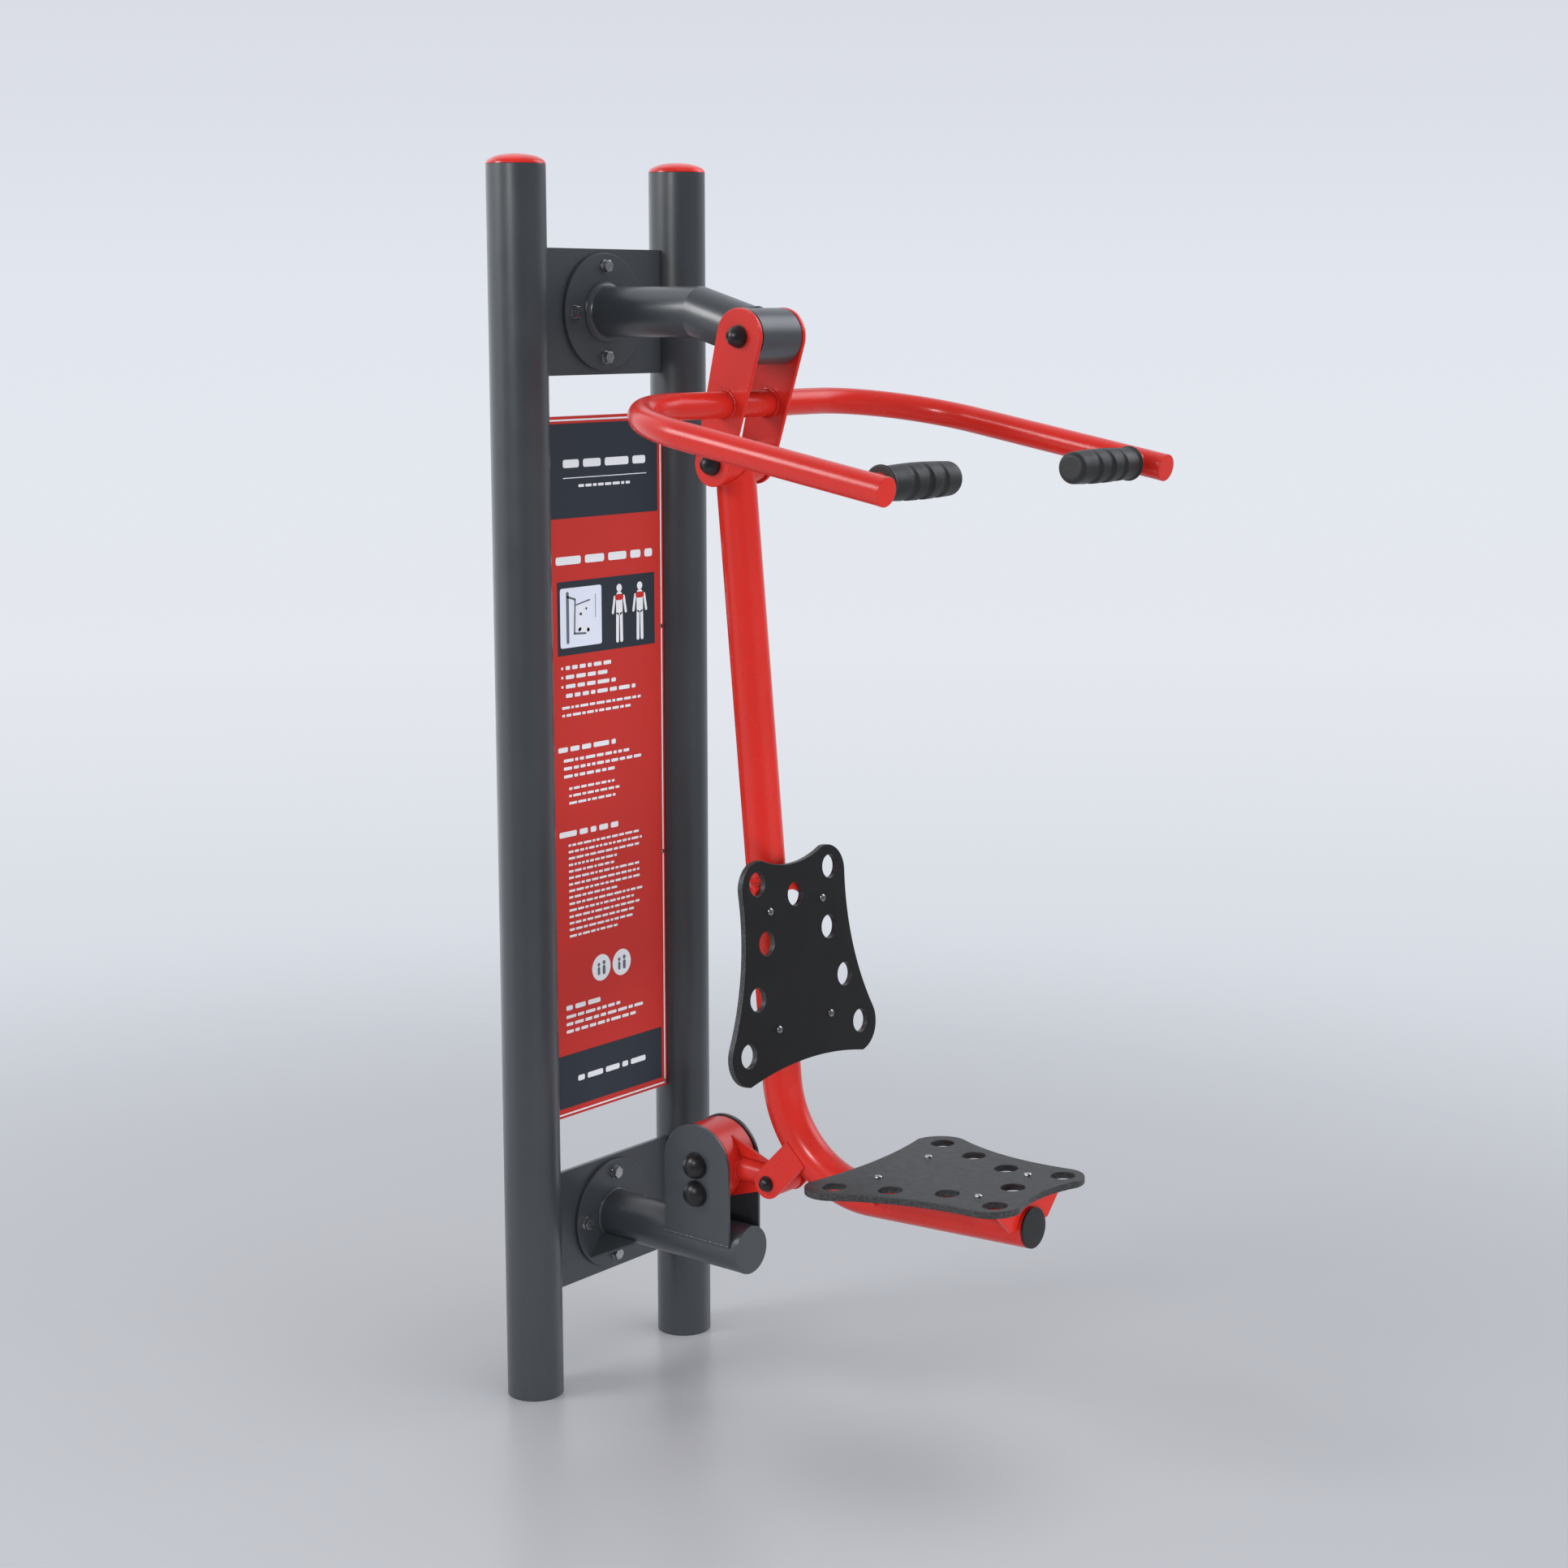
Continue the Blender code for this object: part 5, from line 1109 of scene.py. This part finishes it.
def link_nodes():
    half, inside = HUB_HALF_WIDTH, HUB_HALF_WIDTH - HUB_WALL
    drum = ring(HUB_BORE, HUB_RADIUS, -half, half, HUB_EDGE)
    room = ring(HUB_BOSS_RADIUS, HUB_RADIUS - HUB_WALL, -inside, inside, CUTTER_ROUNDING)
    cut(drum, room)
    front, back = -QUARTER_TURN, -QUARTER_TURN - STOP_SLOT_TRAVEL
    wide = STOP_BOLT_RADIUS + GAP
    slot = []
    for centre, radius, start, end in (
        ((0, 0), STOP_BOLT_DROP + wide, back, front),
        (polar(STOP_BOLT_DROP, front).xz, wide, front, front + HALF_TURN),
        ((0, 0), STOP_BOLT_DROP - wide, front, back),
        (polar(STOP_BOLT_DROP, back).xz, wide, back + HALF_TURN, back + FULL_TURN),
    ):
        slot += arc(centre, radius, start, end)[:-1]
    cut(drum, sheet(slot, -CUTTER_REACH, CUTTER_REACH, rounding=CUTTER_ROUNDING))
    stands_for("hub", drum, lying(HUB_PIVOT))

    way = LINK_SPAN.normalized()
    path = [HUB_PIVOT + way * (HUB_RADIUS - HUB_WALL), CLEVIS_PIVOT - way * LINK_EYE_BORE / 2]
    arm = swept(path, LINK_ARM_RADIUS, ROUND_SIDES, LINK_ARM_WALL)
    cut(arm, saddle_drill(HUB_RADIUS + GAP, HUB_PIVOT, LINK_CUTTER_REACH))
    eye = rod(LINK_EYE_RADIUS, -LINK_EYE_HALF_WIDTH, LINK_EYE_HALF_WIDTH)
    cut(arm, moved(eye, lying(CLEVIS_PIVOT)), "UNION")
    cut(arm, saddle_drill(LINK_EYE_BORE, CLEVIS_PIVOT, LINK_CUTTER_REACH))
    stands_for("link_arm", arm)
    low, radius = LINK_ARM_RADIUS + GAP, HUB_RADIUS + GAP
    end = LINK_SPAN.length - LINK_EYE_RADIUS - 0.0025
    web = arc((0, 0), radius, math.asin(low / radius), math.radians(51))
    web += [(end, low + 0.0045), (end, low)]
    tilt = at(*HUB_PIVOT) @ spin("Y", -LINK_ANGLE) @ UPRIGHT
    for name, sign in (("top_gusset", 1), ("bottom_gusset", -1)):
        outline = [(x, sign * y) for x, y in web]
        stands_for(name, sheet(outline, -THIN_PLATE_HALF, THIN_PLATE_HALF), tilt)


# Small parts
BOLT_WASHER = (0.0052, 0.0102, 0.0019, 0.0003)
PAD_WASHER = (0.0032, 0.0065, 0.0012, 0.0002)
HEX_STEPS = 48


def hex_prism(across_flats, height):
    """A hexagon prism whose top corners are turned off, as on a bolt head or nut."""
    inner = across_flats / 2 * 0.94
    rings = [[], [], []]
    solid = bmesh.new()
    for step in range(HEX_STEPS):
        angle = FULL_TURN * step / HEX_STEPS
        fold = (angle + HALF_TURN / 6) % (HALF_TURN / 3) - HALF_TURN / 6
        reach = across_flats / 2 / math.cos(fold)
        drop = max(0.0, reach - inner) * 0.6
        for line, radius, level in zip(rings, (reach, reach, inner), (0, height - drop, height)):
            corner = (radius * math.cos(angle), radius * math.sin(angle), level)
            line.append(solid.verts.new(corner))
    for lower, upper in each_with_next(rings):
        bridged(solid, lower, upper)
    solid.faces.new(rings[2])
    solid.faces.new(list(reversed(rings[0])))
    return piece_from(solid)


def on_washer(washer, across_flats, height, turn=0.0, ends=()):
    """A hexagon on a washer of a given bore, radius, thickness and edge rounding."""
    bore, radius, thick, rounding = washer
    head = moved(hex_prism(across_flats, height), at(0, 0, thick) @ spin("Z", turn))
    return joined([ring(bore, radius, 0, thick, rounding), head, *ends])


def flange_bolts(name, height):
    """Four bolts through a flange and its cross plate, with a nut on each at the back."""
    for index in range(4):
        angle = QUARTER_TURN * index
        y = BOLT_CIRCLE_RADIUS * math.sin(angle)
        z = height + BOLT_CIRCLE_RADIUS * math.cos(angle)
        for kind, x, way, rise, turn in (
            ("bolt", FLANGE_FACE_X, 1, 0.0078, 0.26 + 0.9 * index),
            ("nut", -PLATE_FACE_X, -1, 0.0080, 0.5 + 1.1 * index),
        ):
            ends = [rod(0.0050, 0.0090, 0.0135)] if kind == "nut" else []
            piece = on_washer(BOLT_WASHER, 0.0168, rise, turn, ends)
            placed(piece, (x, y, z), (way, 0, 0))
            added(piece, f"{name}_{kind}_{index + 1}", "frame", "bright_steel")


def button_screw(radius, height, socket):
    """A low domed head with a blind round socket."""
    profile = [(0, height - 0.0012), (socket, height - 0.0012), (socket, height)]
    for turn in quarter(8)[1:]:
        across = socket + (radius - socket) * math.sin(turn)
        profile.append((across, 0.0004 + (height - 0.0004) * math.cos(turn)))
    return turned(profile + [(radius, 0), (0, 0)], SMALL_SIDES)


def pad_screws():
    under = at(0, 0, -PAD_THICKNESS - BRACKET_THICKNESS - GAP) @ spin("X", HALF_TURN)
    places = [(0.026, -0.0625), (0.026, 0.0625), (0.205, -0.0627), (0.205, 0.0627)]
    for pad, plane, *_ in PADS:
        for index, (station, across) in enumerate(places, start=1):
            place = plane @ at(station, across, PAD_OFFSET)
            screw = moved(button_screw(0.0058, 0.0032, 0.0020), place)
            added(screw, f"{pad}_screw_{index}", "seat_carriage", "bright_steel")
            nut = moved(on_washer(PAD_WASHER, 0.010, 0.0048), place @ under)
            added(nut, f"{pad}_nut_{index}", "seat_carriage", "bright_steel")


def sign_screws():
    for index, height in enumerate((0.4445, 0.831, 1.200, 1.5315), start=1):
        for side, sign in SIDES:
            screw = button_screw(0.0033, 0.0018, 0.0011)
            placed(screw, (SIGN_FACE_X + 0.0002, sign * 0.1290, height), (1, 0, 0))
            added(screw, f"{side}_sign_screw_{index}", "frame", "bright_steel")


def bead(name, path, radius, body, seed, closed=True):
    """A weld bead along a path, with the uneven ripples that a hand-run weld has."""
    slot = "anthracite_coat" if body == "frame" else "red_coat"
    draw = random.Random(seed)
    count = len(path)
    waves = [
        (draw.uniform(0.04, 0.10), draw.randint(7, 19), draw.uniform(0, FULL_TURN))
        for _ in range(3)
    ]

    def thick(index):
        turn = FULL_TURN * index / count
        ripple = sum(size * math.sin(rate * turn + start) for size, rate, start in waves)
        return radius * (1 + ripple + 0.07 * (index % 2))

    added(swept(path, thick, 12, closed=closed), name, body, slot)


def ring_path(centre, axis, radius, steps=120):
    turn = frame_on(axis)
    return [Vector(centre) + turn @ Vector((*point, 0)) for point in circle((0, 0), radius, steps)]


def saddle_path(centre, sleeve_radius, toward, tube_radius, steps=120):
    """Where a tube that runs towards a point in the XZ plane meets a sleeve along Y."""
    along, side = (toward - centre).normalized(), Vector((0, 1, 0))
    up = along.cross(side)
    path = []
    for across, rise in circle((0, 0), tube_radius, steps):
        reach = math.sqrt(sleeve_radius**2 - rise**2)
        path.append(centre + side * across + up * rise + along * reach)
    return path


def cove_weld():
    """The broad hollow fillet round the upper arm's root, with its lip on the flange."""
    inner, outer, rise, lip = ARM_RADIUS - 0.0003, 0.0458, 0.0095, 0.0026
    profile = [
        (outer - (outer - inner) * math.cos(turn), rise - (rise - lip) * math.sin(turn))
        for turn in quarter(10)
    ]
    profile += [(outer + 0.0006, lip - 0.0009), (outer + 0.0006, 0.0001), (inner, 0.0001)]

    def shape(radius, height, angle):
        ripple = math.sin(9 * angle) + 0.6 * math.sin(23 * angle + 1) + 0.4 * math.sin(41 * angle)
        return radius + 0.00022 * ripple * (radius - inner) / (outer - inner)

    weld = turned(profile, FINE_SIDES, closed=True, shape=shape)
    placed(weld, (FLANGE_FACE_X + GAP, 0, UPPER_ARM_Z), (1, 0, 0))
    added(weld, "upper_flange_weld", "frame", "anthracite_coat")


def welds():
    """The beads. Their small offsets from a joint's own sizes sink each one to its depth."""
    cove_weld()
    ahead, across = (1, 0, 0), (0, 1, 0)
    root = ring_path((FLANGE_FACE_X + 0.0006, 0, LOWER_ARM_Z), ahead, ARM_RADIUS + 0.0008)
    bead("lower_flange_weld", root, 0.0026, "frame", 2)
    saddle = saddle_path(UPPER_PIVOT, PIVOT_SLEEVE_RADIUS + 0.0004, ARM_KNEE, ARM_RADIUS)
    bead("pivot_sleeve_weld", saddle, 0.0024, "frame", 3)
    rim = ring_path((LOWER_ARM_END_X, 0, LOWER_ARM_Z), ahead, ARM_RADIUS - 0.0012)
    bead("arm_end_weld", rim, 0.0014, "frame", 4)
    for index, (side, sign) in enumerate(SIDES):
        for place, y in (("outer", LEVER_HALF_WIDTH + 0.0004), ("inner", LEVER_INNER_Y - 0.0006)):
            root = ring_path(beside(BAR_CENTRE, sign * y), across, BAR_RADIUS + 0.0014)
            bead(f"{side}_{place}_bar_weld", root, 0.0020, "lever", 5 + index)
        end = beside(BAR_LID, sign * BAR_HALF_WIDTH)
        rim = ring_path(end, polar(1, -BAR_SLOPE), BAR_RADIUS - 0.0010)
        bead(f"{side}_bar_end_weld", rim, 0.0012, "lever", 7 + index)
        y, z = sign * 0.0384, CHEEK_FOOT_Z - 0.0012
        foot = [
            Vector((HUB_PIVOT.x + CHEEK_RADIUS * (step / 30 - 1), y, z)) for step in range(61)
        ]
        bead(f"{side}_cheek_weld", foot, 0.0021, "frame", 12 + index, closed=False)
    sleeve, tube = CARRIAGE_SLEEVE_RADIUS + 0.0010, SEAT_TUBE_RADIUS - 0.0012
    saddle = saddle_path(LOWER_PIVOT, sleeve, SEAT_CORNER, tube)
    bead("carriage_sleeve_weld", saddle, 0.0024, "seat_carriage", 9)
    saddle = saddle_path(HUB_PIVOT, HUB_RADIUS + 0.0004, CLEVIS_PIVOT, LINK_ARM_RADIUS)
    bead("link_hub_weld", saddle, 0.0020, "lower_link", 10)


def grease_nipple():
    """A low grey plug on top of the pivot sleeve."""
    up = polar(1, math.radians(103.4))
    profile = [(0, 0.0034), (0.0040, 0.0032), (0.0062, 0.0024), (0.0074, 0.0010), (0.0076, -0.0012)]
    nipple = turned(profile + [(0, -0.0012)], SMALL_SIDES)
    placed(nipple, UPPER_PIVOT + up * PIVOT_SLEEVE_RADIUS, up)
    added(nipple, "grease_plug", "frame", "anthracite_coat")


# The sign's generic print: flat shapes a hair proud of the panel
class Print:
    """Collects shapes of one ink at one level. Coordinates are Y and Z on the sign."""

    def __init__(self, name, ink, level):
        self.name = name
        self.ink = ink
        self.x = SIGN_FACE_X + 0.00015 * level
        self.solid = bmesh.new()

    def shape(self, points):
        self.solid.faces.new([self.solid.verts.new((self.x, y, z)) for y, z in points])

    def block(self, low_y, low_z, high_y, high_z, corner=0.0):
        if not corner:
            self.shape([(low_y, low_z), (high_y, low_z), (high_y, high_z), (low_y, high_z)])
            return
        left, right, low, high = low_y + corner, high_y - corner, low_z + corner, high_z - corner
        outline = []
        for index, centre in enumerate(((right, high), (left, high), (left, low), (right, low))):
            start = QUARTER_TURN * index
            outline += arc(centre, corner, start, start + QUARTER_TURN, 5)
        self.shape(outline)

    def disc(self, y, z, radius):
        self.shape(circle((y, z), radius, 40))

    def strokes(self, lines, middle=0.0):
        """Straight lines with round ends, each given by its two ends and its width."""
        for first_y, first_z, second_y, second_z, width in lines:
            angle = math.atan2(second_z - first_z, second_y - first_y) + QUARTER_TURN
            first, second = (middle + first_y, first_z), (middle + second_y, second_z)
            outline = arc(second, width / 2, angle - HALF_TURN, angle, 8)
            self.shape(outline + arc(first, width / 2, angle, angle + HALF_TURN, 8))

    def words(self, low_y, high_y, z, height, draw):
        """A line of bars of unlike length, where the photograph has small writing."""
        y = low_y
        while y < high_y - 1.2 * height:
            length = min(height * draw.uniform(1.4, 4.6), high_y - y)
            self.block(y, z - height / 2, y + length, z + height / 2, height * 0.3)
            y += length + height * 0.75

    def made(self):
        for face in list(self.solid.faces):
            if face.normal.x < 0:
                face.normal_flip()
        mesh = bpy.data.meshes.new(self.name)
        self.solid.to_mesh(mesh)
        self.solid.free()
        piece = linked(self.name, mesh)
        thickness = piece.modifiers.new("ink", "SOLIDIFY")
        thickness.thickness = 0.0001
        thickness.offset = 0
        added(piece, self.name, "frame", self.ink)


MARKS = (-0.0210, 0.0270)
STANDING = (0.0300, 0.0780)


def sign_writing(draw):
    """Lines of bars in place of the sign's words, and two round marks."""
    pale = Print("sign_writing", "pale", 2)
    pale.block(-0.0940, 1.4455, 0.0960, 1.4467)
    for left, right, z, height in (
        (-0.094, 0.094, 1.4680, 0.0125),
        (-0.060, 0.060, 1.4335, 0.0042),
        (-0.078, 0.082, 0.4945, 0.0090),
        (-0.113, 0.113, 1.3200, 0.0125),
    ):
        pale.words(left, right, z, height, draw)
    # Blocks of small writing: start height, line pitch, lines, height, left and right
    for top, pitch, lines, height, left, right in (
        (1.1540, 0.0145, 2, 0.0062, -0.094, 0.010),
        (1.1250, 0.0145, 2, 0.0062, -0.094, 0.088),
        (1.0920, 0.0120, 2, 0.0042, -0.103, 0.080),
        (1.0265, 0.0100, 1, 0.0078, -0.113, 0.024),
        (1.0090, 0.0125, 3, 0.0048, -0.101, 0.078),
        (0.9640, 0.0115, 3, 0.0040, -0.090, 0.026),
        (0.8925, 0.0100, 1, 0.0090, -0.113, 0.028),
        (0.8740, 0.0104, 15, 0.0038, -0.093, 0.078),
        (0.6135, 0.0100, 1, 0.0078, -0.103, 0.018),
        (0.5990, 0.0120, 3, 0.0050, -0.103, 0.090),
    ):
        for index in range(lines):
            reach = right - (right - left) * draw.choice((0.0, 0.04, 0.12, 0.35))
            pale.words(left, reach, top - pitch * index, height, draw)
    for index in range(3):
        pale.block(-0.1040, 1.1520 - 0.0145 * index, -0.0995, 1.1560 - 0.0145 * index, 0.0012)
    for y in MARKS:
        pale.disc(y, 0.6650, 0.0215)
    pale.made()


def sign_face():
    """A border, dark panels, writing, and plain figures: one seated at a post, two standing."""
    border = Print("sign_line", "pale", 1)
    inset, edge = 0.0056, 0.0013
    left, right = inset - CROSS_HALF_WIDTH, CROSS_HALF_WIDTH - inset
    low, high = SIGN_LOW_Z + inset, SIGN_HIGH_Z - inset
    for y in (left, right):
        border.block(y - edge, low - edge, y + edge, high + edge)
    for z in (low, high):
        border.block(left + edge, z - edge, right - edge, z + edge)
    border.made()

    dark = Print("sign_panels", "dark", 1)
    dark.block(-0.1225, 1.3847, 0.1225, 1.5290)
    dark.block(-0.1225, 0.4512, 0.1225, 0.5375)
    dark.block(-0.1105, 1.1735, 0.1135, 1.2880)
    dark.made()
    sign_writing(random.Random(11))
    blue = Print("sign_picture_ground", "blue", 2)
    blue.block(-0.1045, 1.1850, -0.0110, 1.2775, 0.004)
    blue.made()

    # Strokes: both ends and the width
    seated = (
        (-0.0600, 1.2340, -0.0620, 1.2130, 0.0090),
        (-0.0610, 1.2110, -0.0420, 1.2100, 0.0068),
        (-0.0420, 1.2100, -0.0400, 1.1960, 0.0056),
        (-0.0590, 1.2350, -0.0460, 1.2430, 0.0040),
        (-0.0460, 1.2430, -0.0420, 1.2540, 0.0038),
    )
    standing = (
        (0, 1.2560, 0, 1.2330, 0.0150),
        (-0.0105, 1.2550, -0.0150, 1.2310, 0.0050),
        (0.0105, 1.2550, 0.0150, 1.2310, 0.0050),
        (-0.0042, 1.2270, -0.0048, 1.1860, 0.0066),
        (0.0042, 1.2270, 0.0048, 1.1860, 0.0066),
    )
    figure = Print("sign_figures", "pale", 3)
    accent = Print("sign_accents", "red", 4)
    figure.disc(-0.0600, 1.2450, 0.0058)
    figure.strokes(seated)
    for middle in STANDING:
        figure.disc(middle, 1.2690, 0.0062)
        figure.strokes(standing, middle)
        accent.strokes([(-0.0050, 1.2545, 0.0050, 1.2545, 0.0095)], middle)
    figure.made()
    accent.made()

    grey = Print("sign_picture_lines", "grey", 3)
    station = (
        (-0.0880, 1.1940, -0.0880, 1.2690, 0.0062),
        (-0.0880, 1.2640, -0.0710, 1.2590, 0.0032),
        (-0.0710, 1.2590, -0.0730, 1.2060, 0.0032),
        (-0.0730, 1.2060, -0.0480, 1.2045, 0.0032),
        (-0.0700, 1.2500, -0.0380, 1.2560, 0.0022),
        (-0.0250, 1.2280, -0.0250, 1.2640, 0.0012),
    )
    grey.strokes(station)
    bodies = ((-0.0060, 0.6640, -0.0060, 0.6560, 0.0056), (0.0060, 0.6650, 0.0060, 0.6560, 0.0066))
    for y in MARKS:
        grey.disc(y - 0.0060, 0.6705, 0.0030)
        grey.disc(y + 0.0060, 0.6725, 0.0034)
        grey.strokes(bodies, y)
    grey.made()


# Stage
def camera():
    data = bpy.data.cameras.new("camera")
    data.lens = 62.55
    data.sensor_width = 36
    data.dof.use_dof = False
    eye = linked("camera", data)
    eye.location = (2.89848, -3.12872, 1.70736)
    eye.rotation_euler = (math.radians(80.0264), 0, math.radians(39.0137))
    bpy.context.scene.camera = eye


def floor():
    """A pale studio floor that fades into the backdrop away from the object."""
    mesh = bpy.data.meshes.new("floor")
    size = 9.0
    corners = [(-size, -size, 0), (size, -size, 0), (size, size, 0), (-size, size, 0)]
    mesh.from_pydata(corners, [], [(0, 1, 2, 3)])
    finish = Finish("floor")
    distance = finish.fed("ShaderNodeVectorMath", {"operation": "LENGTH"}, [finish.place], 1)
    fade = finish.mapped(distance, (0.7, 3.3), kind="SMOOTHSTEP")
    shader = finish.node(
        "ShaderNodeBsdfPrincipled",
        Base_Color=(0.415, 0.420, 0.435, 1.0),
        Roughness=finish.spread((1.4, 1.0), (0.0, 1.0), (0.25, 0.32)),
        Specular_IOR_Level=0.3,
    )
    clear = finish.node("ShaderNodeBsdfTransparent")
    shaders = (fade, shader.outputs[0], clear.outputs[0])
    mix = finish.fed("ShaderNodeMixShader", None, shaders)
    finish.node("ShaderNodeOutputMaterial", Surface=mix)
    mesh.materials.append(finish.material)
    linked("floor", mesh)


def world():
    """Even studio light. Reflections see a pale sweep behind and above, and a dim room in front."""
    studio = bpy.data.worlds.new("studio")
    studio.use_nodes = True
    bpy.context.scene.world = studio
    sky = Nodes(studio.node_tree)
    way = sky.node("ShaderNodeTexCoord").outputs["Generated"]
    height = sky.node("ShaderNodeSeparateXYZ", Vector=way).outputs["Z"]
    ramp = sky.node("ShaderNodeValToRGB", Fac=sky.mapped(height, (-0.45, 0.15)))
    stops = ramp.color_ramp.elements
    for place, colour in (
        (0.07, (0.500, 0.521, 0.571, 1)),
        (0.16, (0.532, 0.556, 0.600, 1)),
        (0.25, (0.617, 0.645, 0.701, 1)),
        (0.36, (0.685, 0.717, 0.776, 1)),
        (0.54, (0.785, 0.810, 0.860, 1)),
        (0.74, (0.765, 0.797, 0.862, 1)),
        (0.92, (0.700, 0.722, 0.785, 1)),
    ):
        stops.new(place).color = colour
    stops.remove(stops[0])
    stops.remove(stops[len(stops) - 1])

    # What glossy surfaces see: glows round four axes, each from a near to a nearer direction
    total = 0.09
    for axis, reach, brightness in (
        ((-0.66, 0.75, 0.0), (-0.05, 0.85), 0.62),
        ((-0.940, -0.342, 0.0), (0.60, 0.70), 0.75),
        ((0.31, 0.79, 0.50), (0.90, 0.975), 2.9),
        ((-0.62, 0.30, 0.72), (0.72, 0.96), 0.45),
    ):
        toward = sky.fed("ShaderNodeVectorMath", {"operation": "DOT_PRODUCT"}, (way, axis), 1)
        total = sky.maths("ADD", total, sky.mapped(toward, reach, (0.0, brightness)))
    tone = {"Vector": (0.94, 0.97, 1.04), "Scale": total}
    mirrored = sky.node("ShaderNodeVectorMath", {"operation": "SCALE"}, **tone).outputs[0]
    path = sky.node("ShaderNodeLightPath").outputs
    colour = sky.blend(path["Is Glossy Ray"], (0.60, 0.62, 0.67, 1), mirrored)
    colour = sky.blend(path["Is Camera Ray"], colour, ramp.outputs[0])
    light = sky.node("ShaderNodeBackground", Color=colour)
    sky.node("ShaderNodeOutputWorld", Surface=light.outputs[0])


def lamp(name, place, target, size, power, mirrored=False, lit=True):
    """A soft rectangular lamp that glossy surfaces mirror, that lights matt ones, or both."""
    data = bpy.data.lights.new(name, "AREA")
    data.shape = "RECTANGLE"
    data.size, data.size_y = size
    data.energy = power
    stand = linked(name, data)
    stand.location = place
    toward = Vector(target) - Vector(place)
    stand.rotation_euler = toward.to_track_quat("-Z", "Y").to_euler()
    stand.visible_glossy = mirrored
    stand.visible_diffuse = lit


def lights():
    lamp("key", (-1.56, -2.73, 3.07), (0.4, -0.1, 1.3), (1.3, 1.3), 62, mirrored=True)
    lamp("front", (0.95, -2.9, 2.6), (0.4, 0, 0.6), (0.45, 0.45), 34, mirrored=True, lit=False)
    lamp("top", (1.1, 0.8, 5.0), (0.3, 0, 0.5), (3.0, 3.0), 93)
    lamp("low", (2.1, -1.2, 0.25), (0.1, 0, 0.45), (1.6, 0.3), 15)
    lamp("side", (-0.3, -3.2, 0.4), (0.25, 0, 0.4), (1.8, 0.7), 20)
    lamp("fill", (4.6, 1.0, 0.75), (0.25, 0, 0.5), (5.0, 1.4), 92)


post_nodes()
arm_nodes()
cheek_nodes()
bush_nodes()
pin_nodes()
lever_nodes()
seat_nodes()
pad_nodes()
clevis_nodes()
link_nodes()
flange_bolts("upper", UPPER_ARM_Z)
flange_bolts("lower", LOWER_ARM_Z)
pad_screws()
sign_screws()
welds()
grease_nipple()
sign_face()
camera()
floor()
world()
lights()
bpy.context.scene.view_settings.view_transform = "Standard"
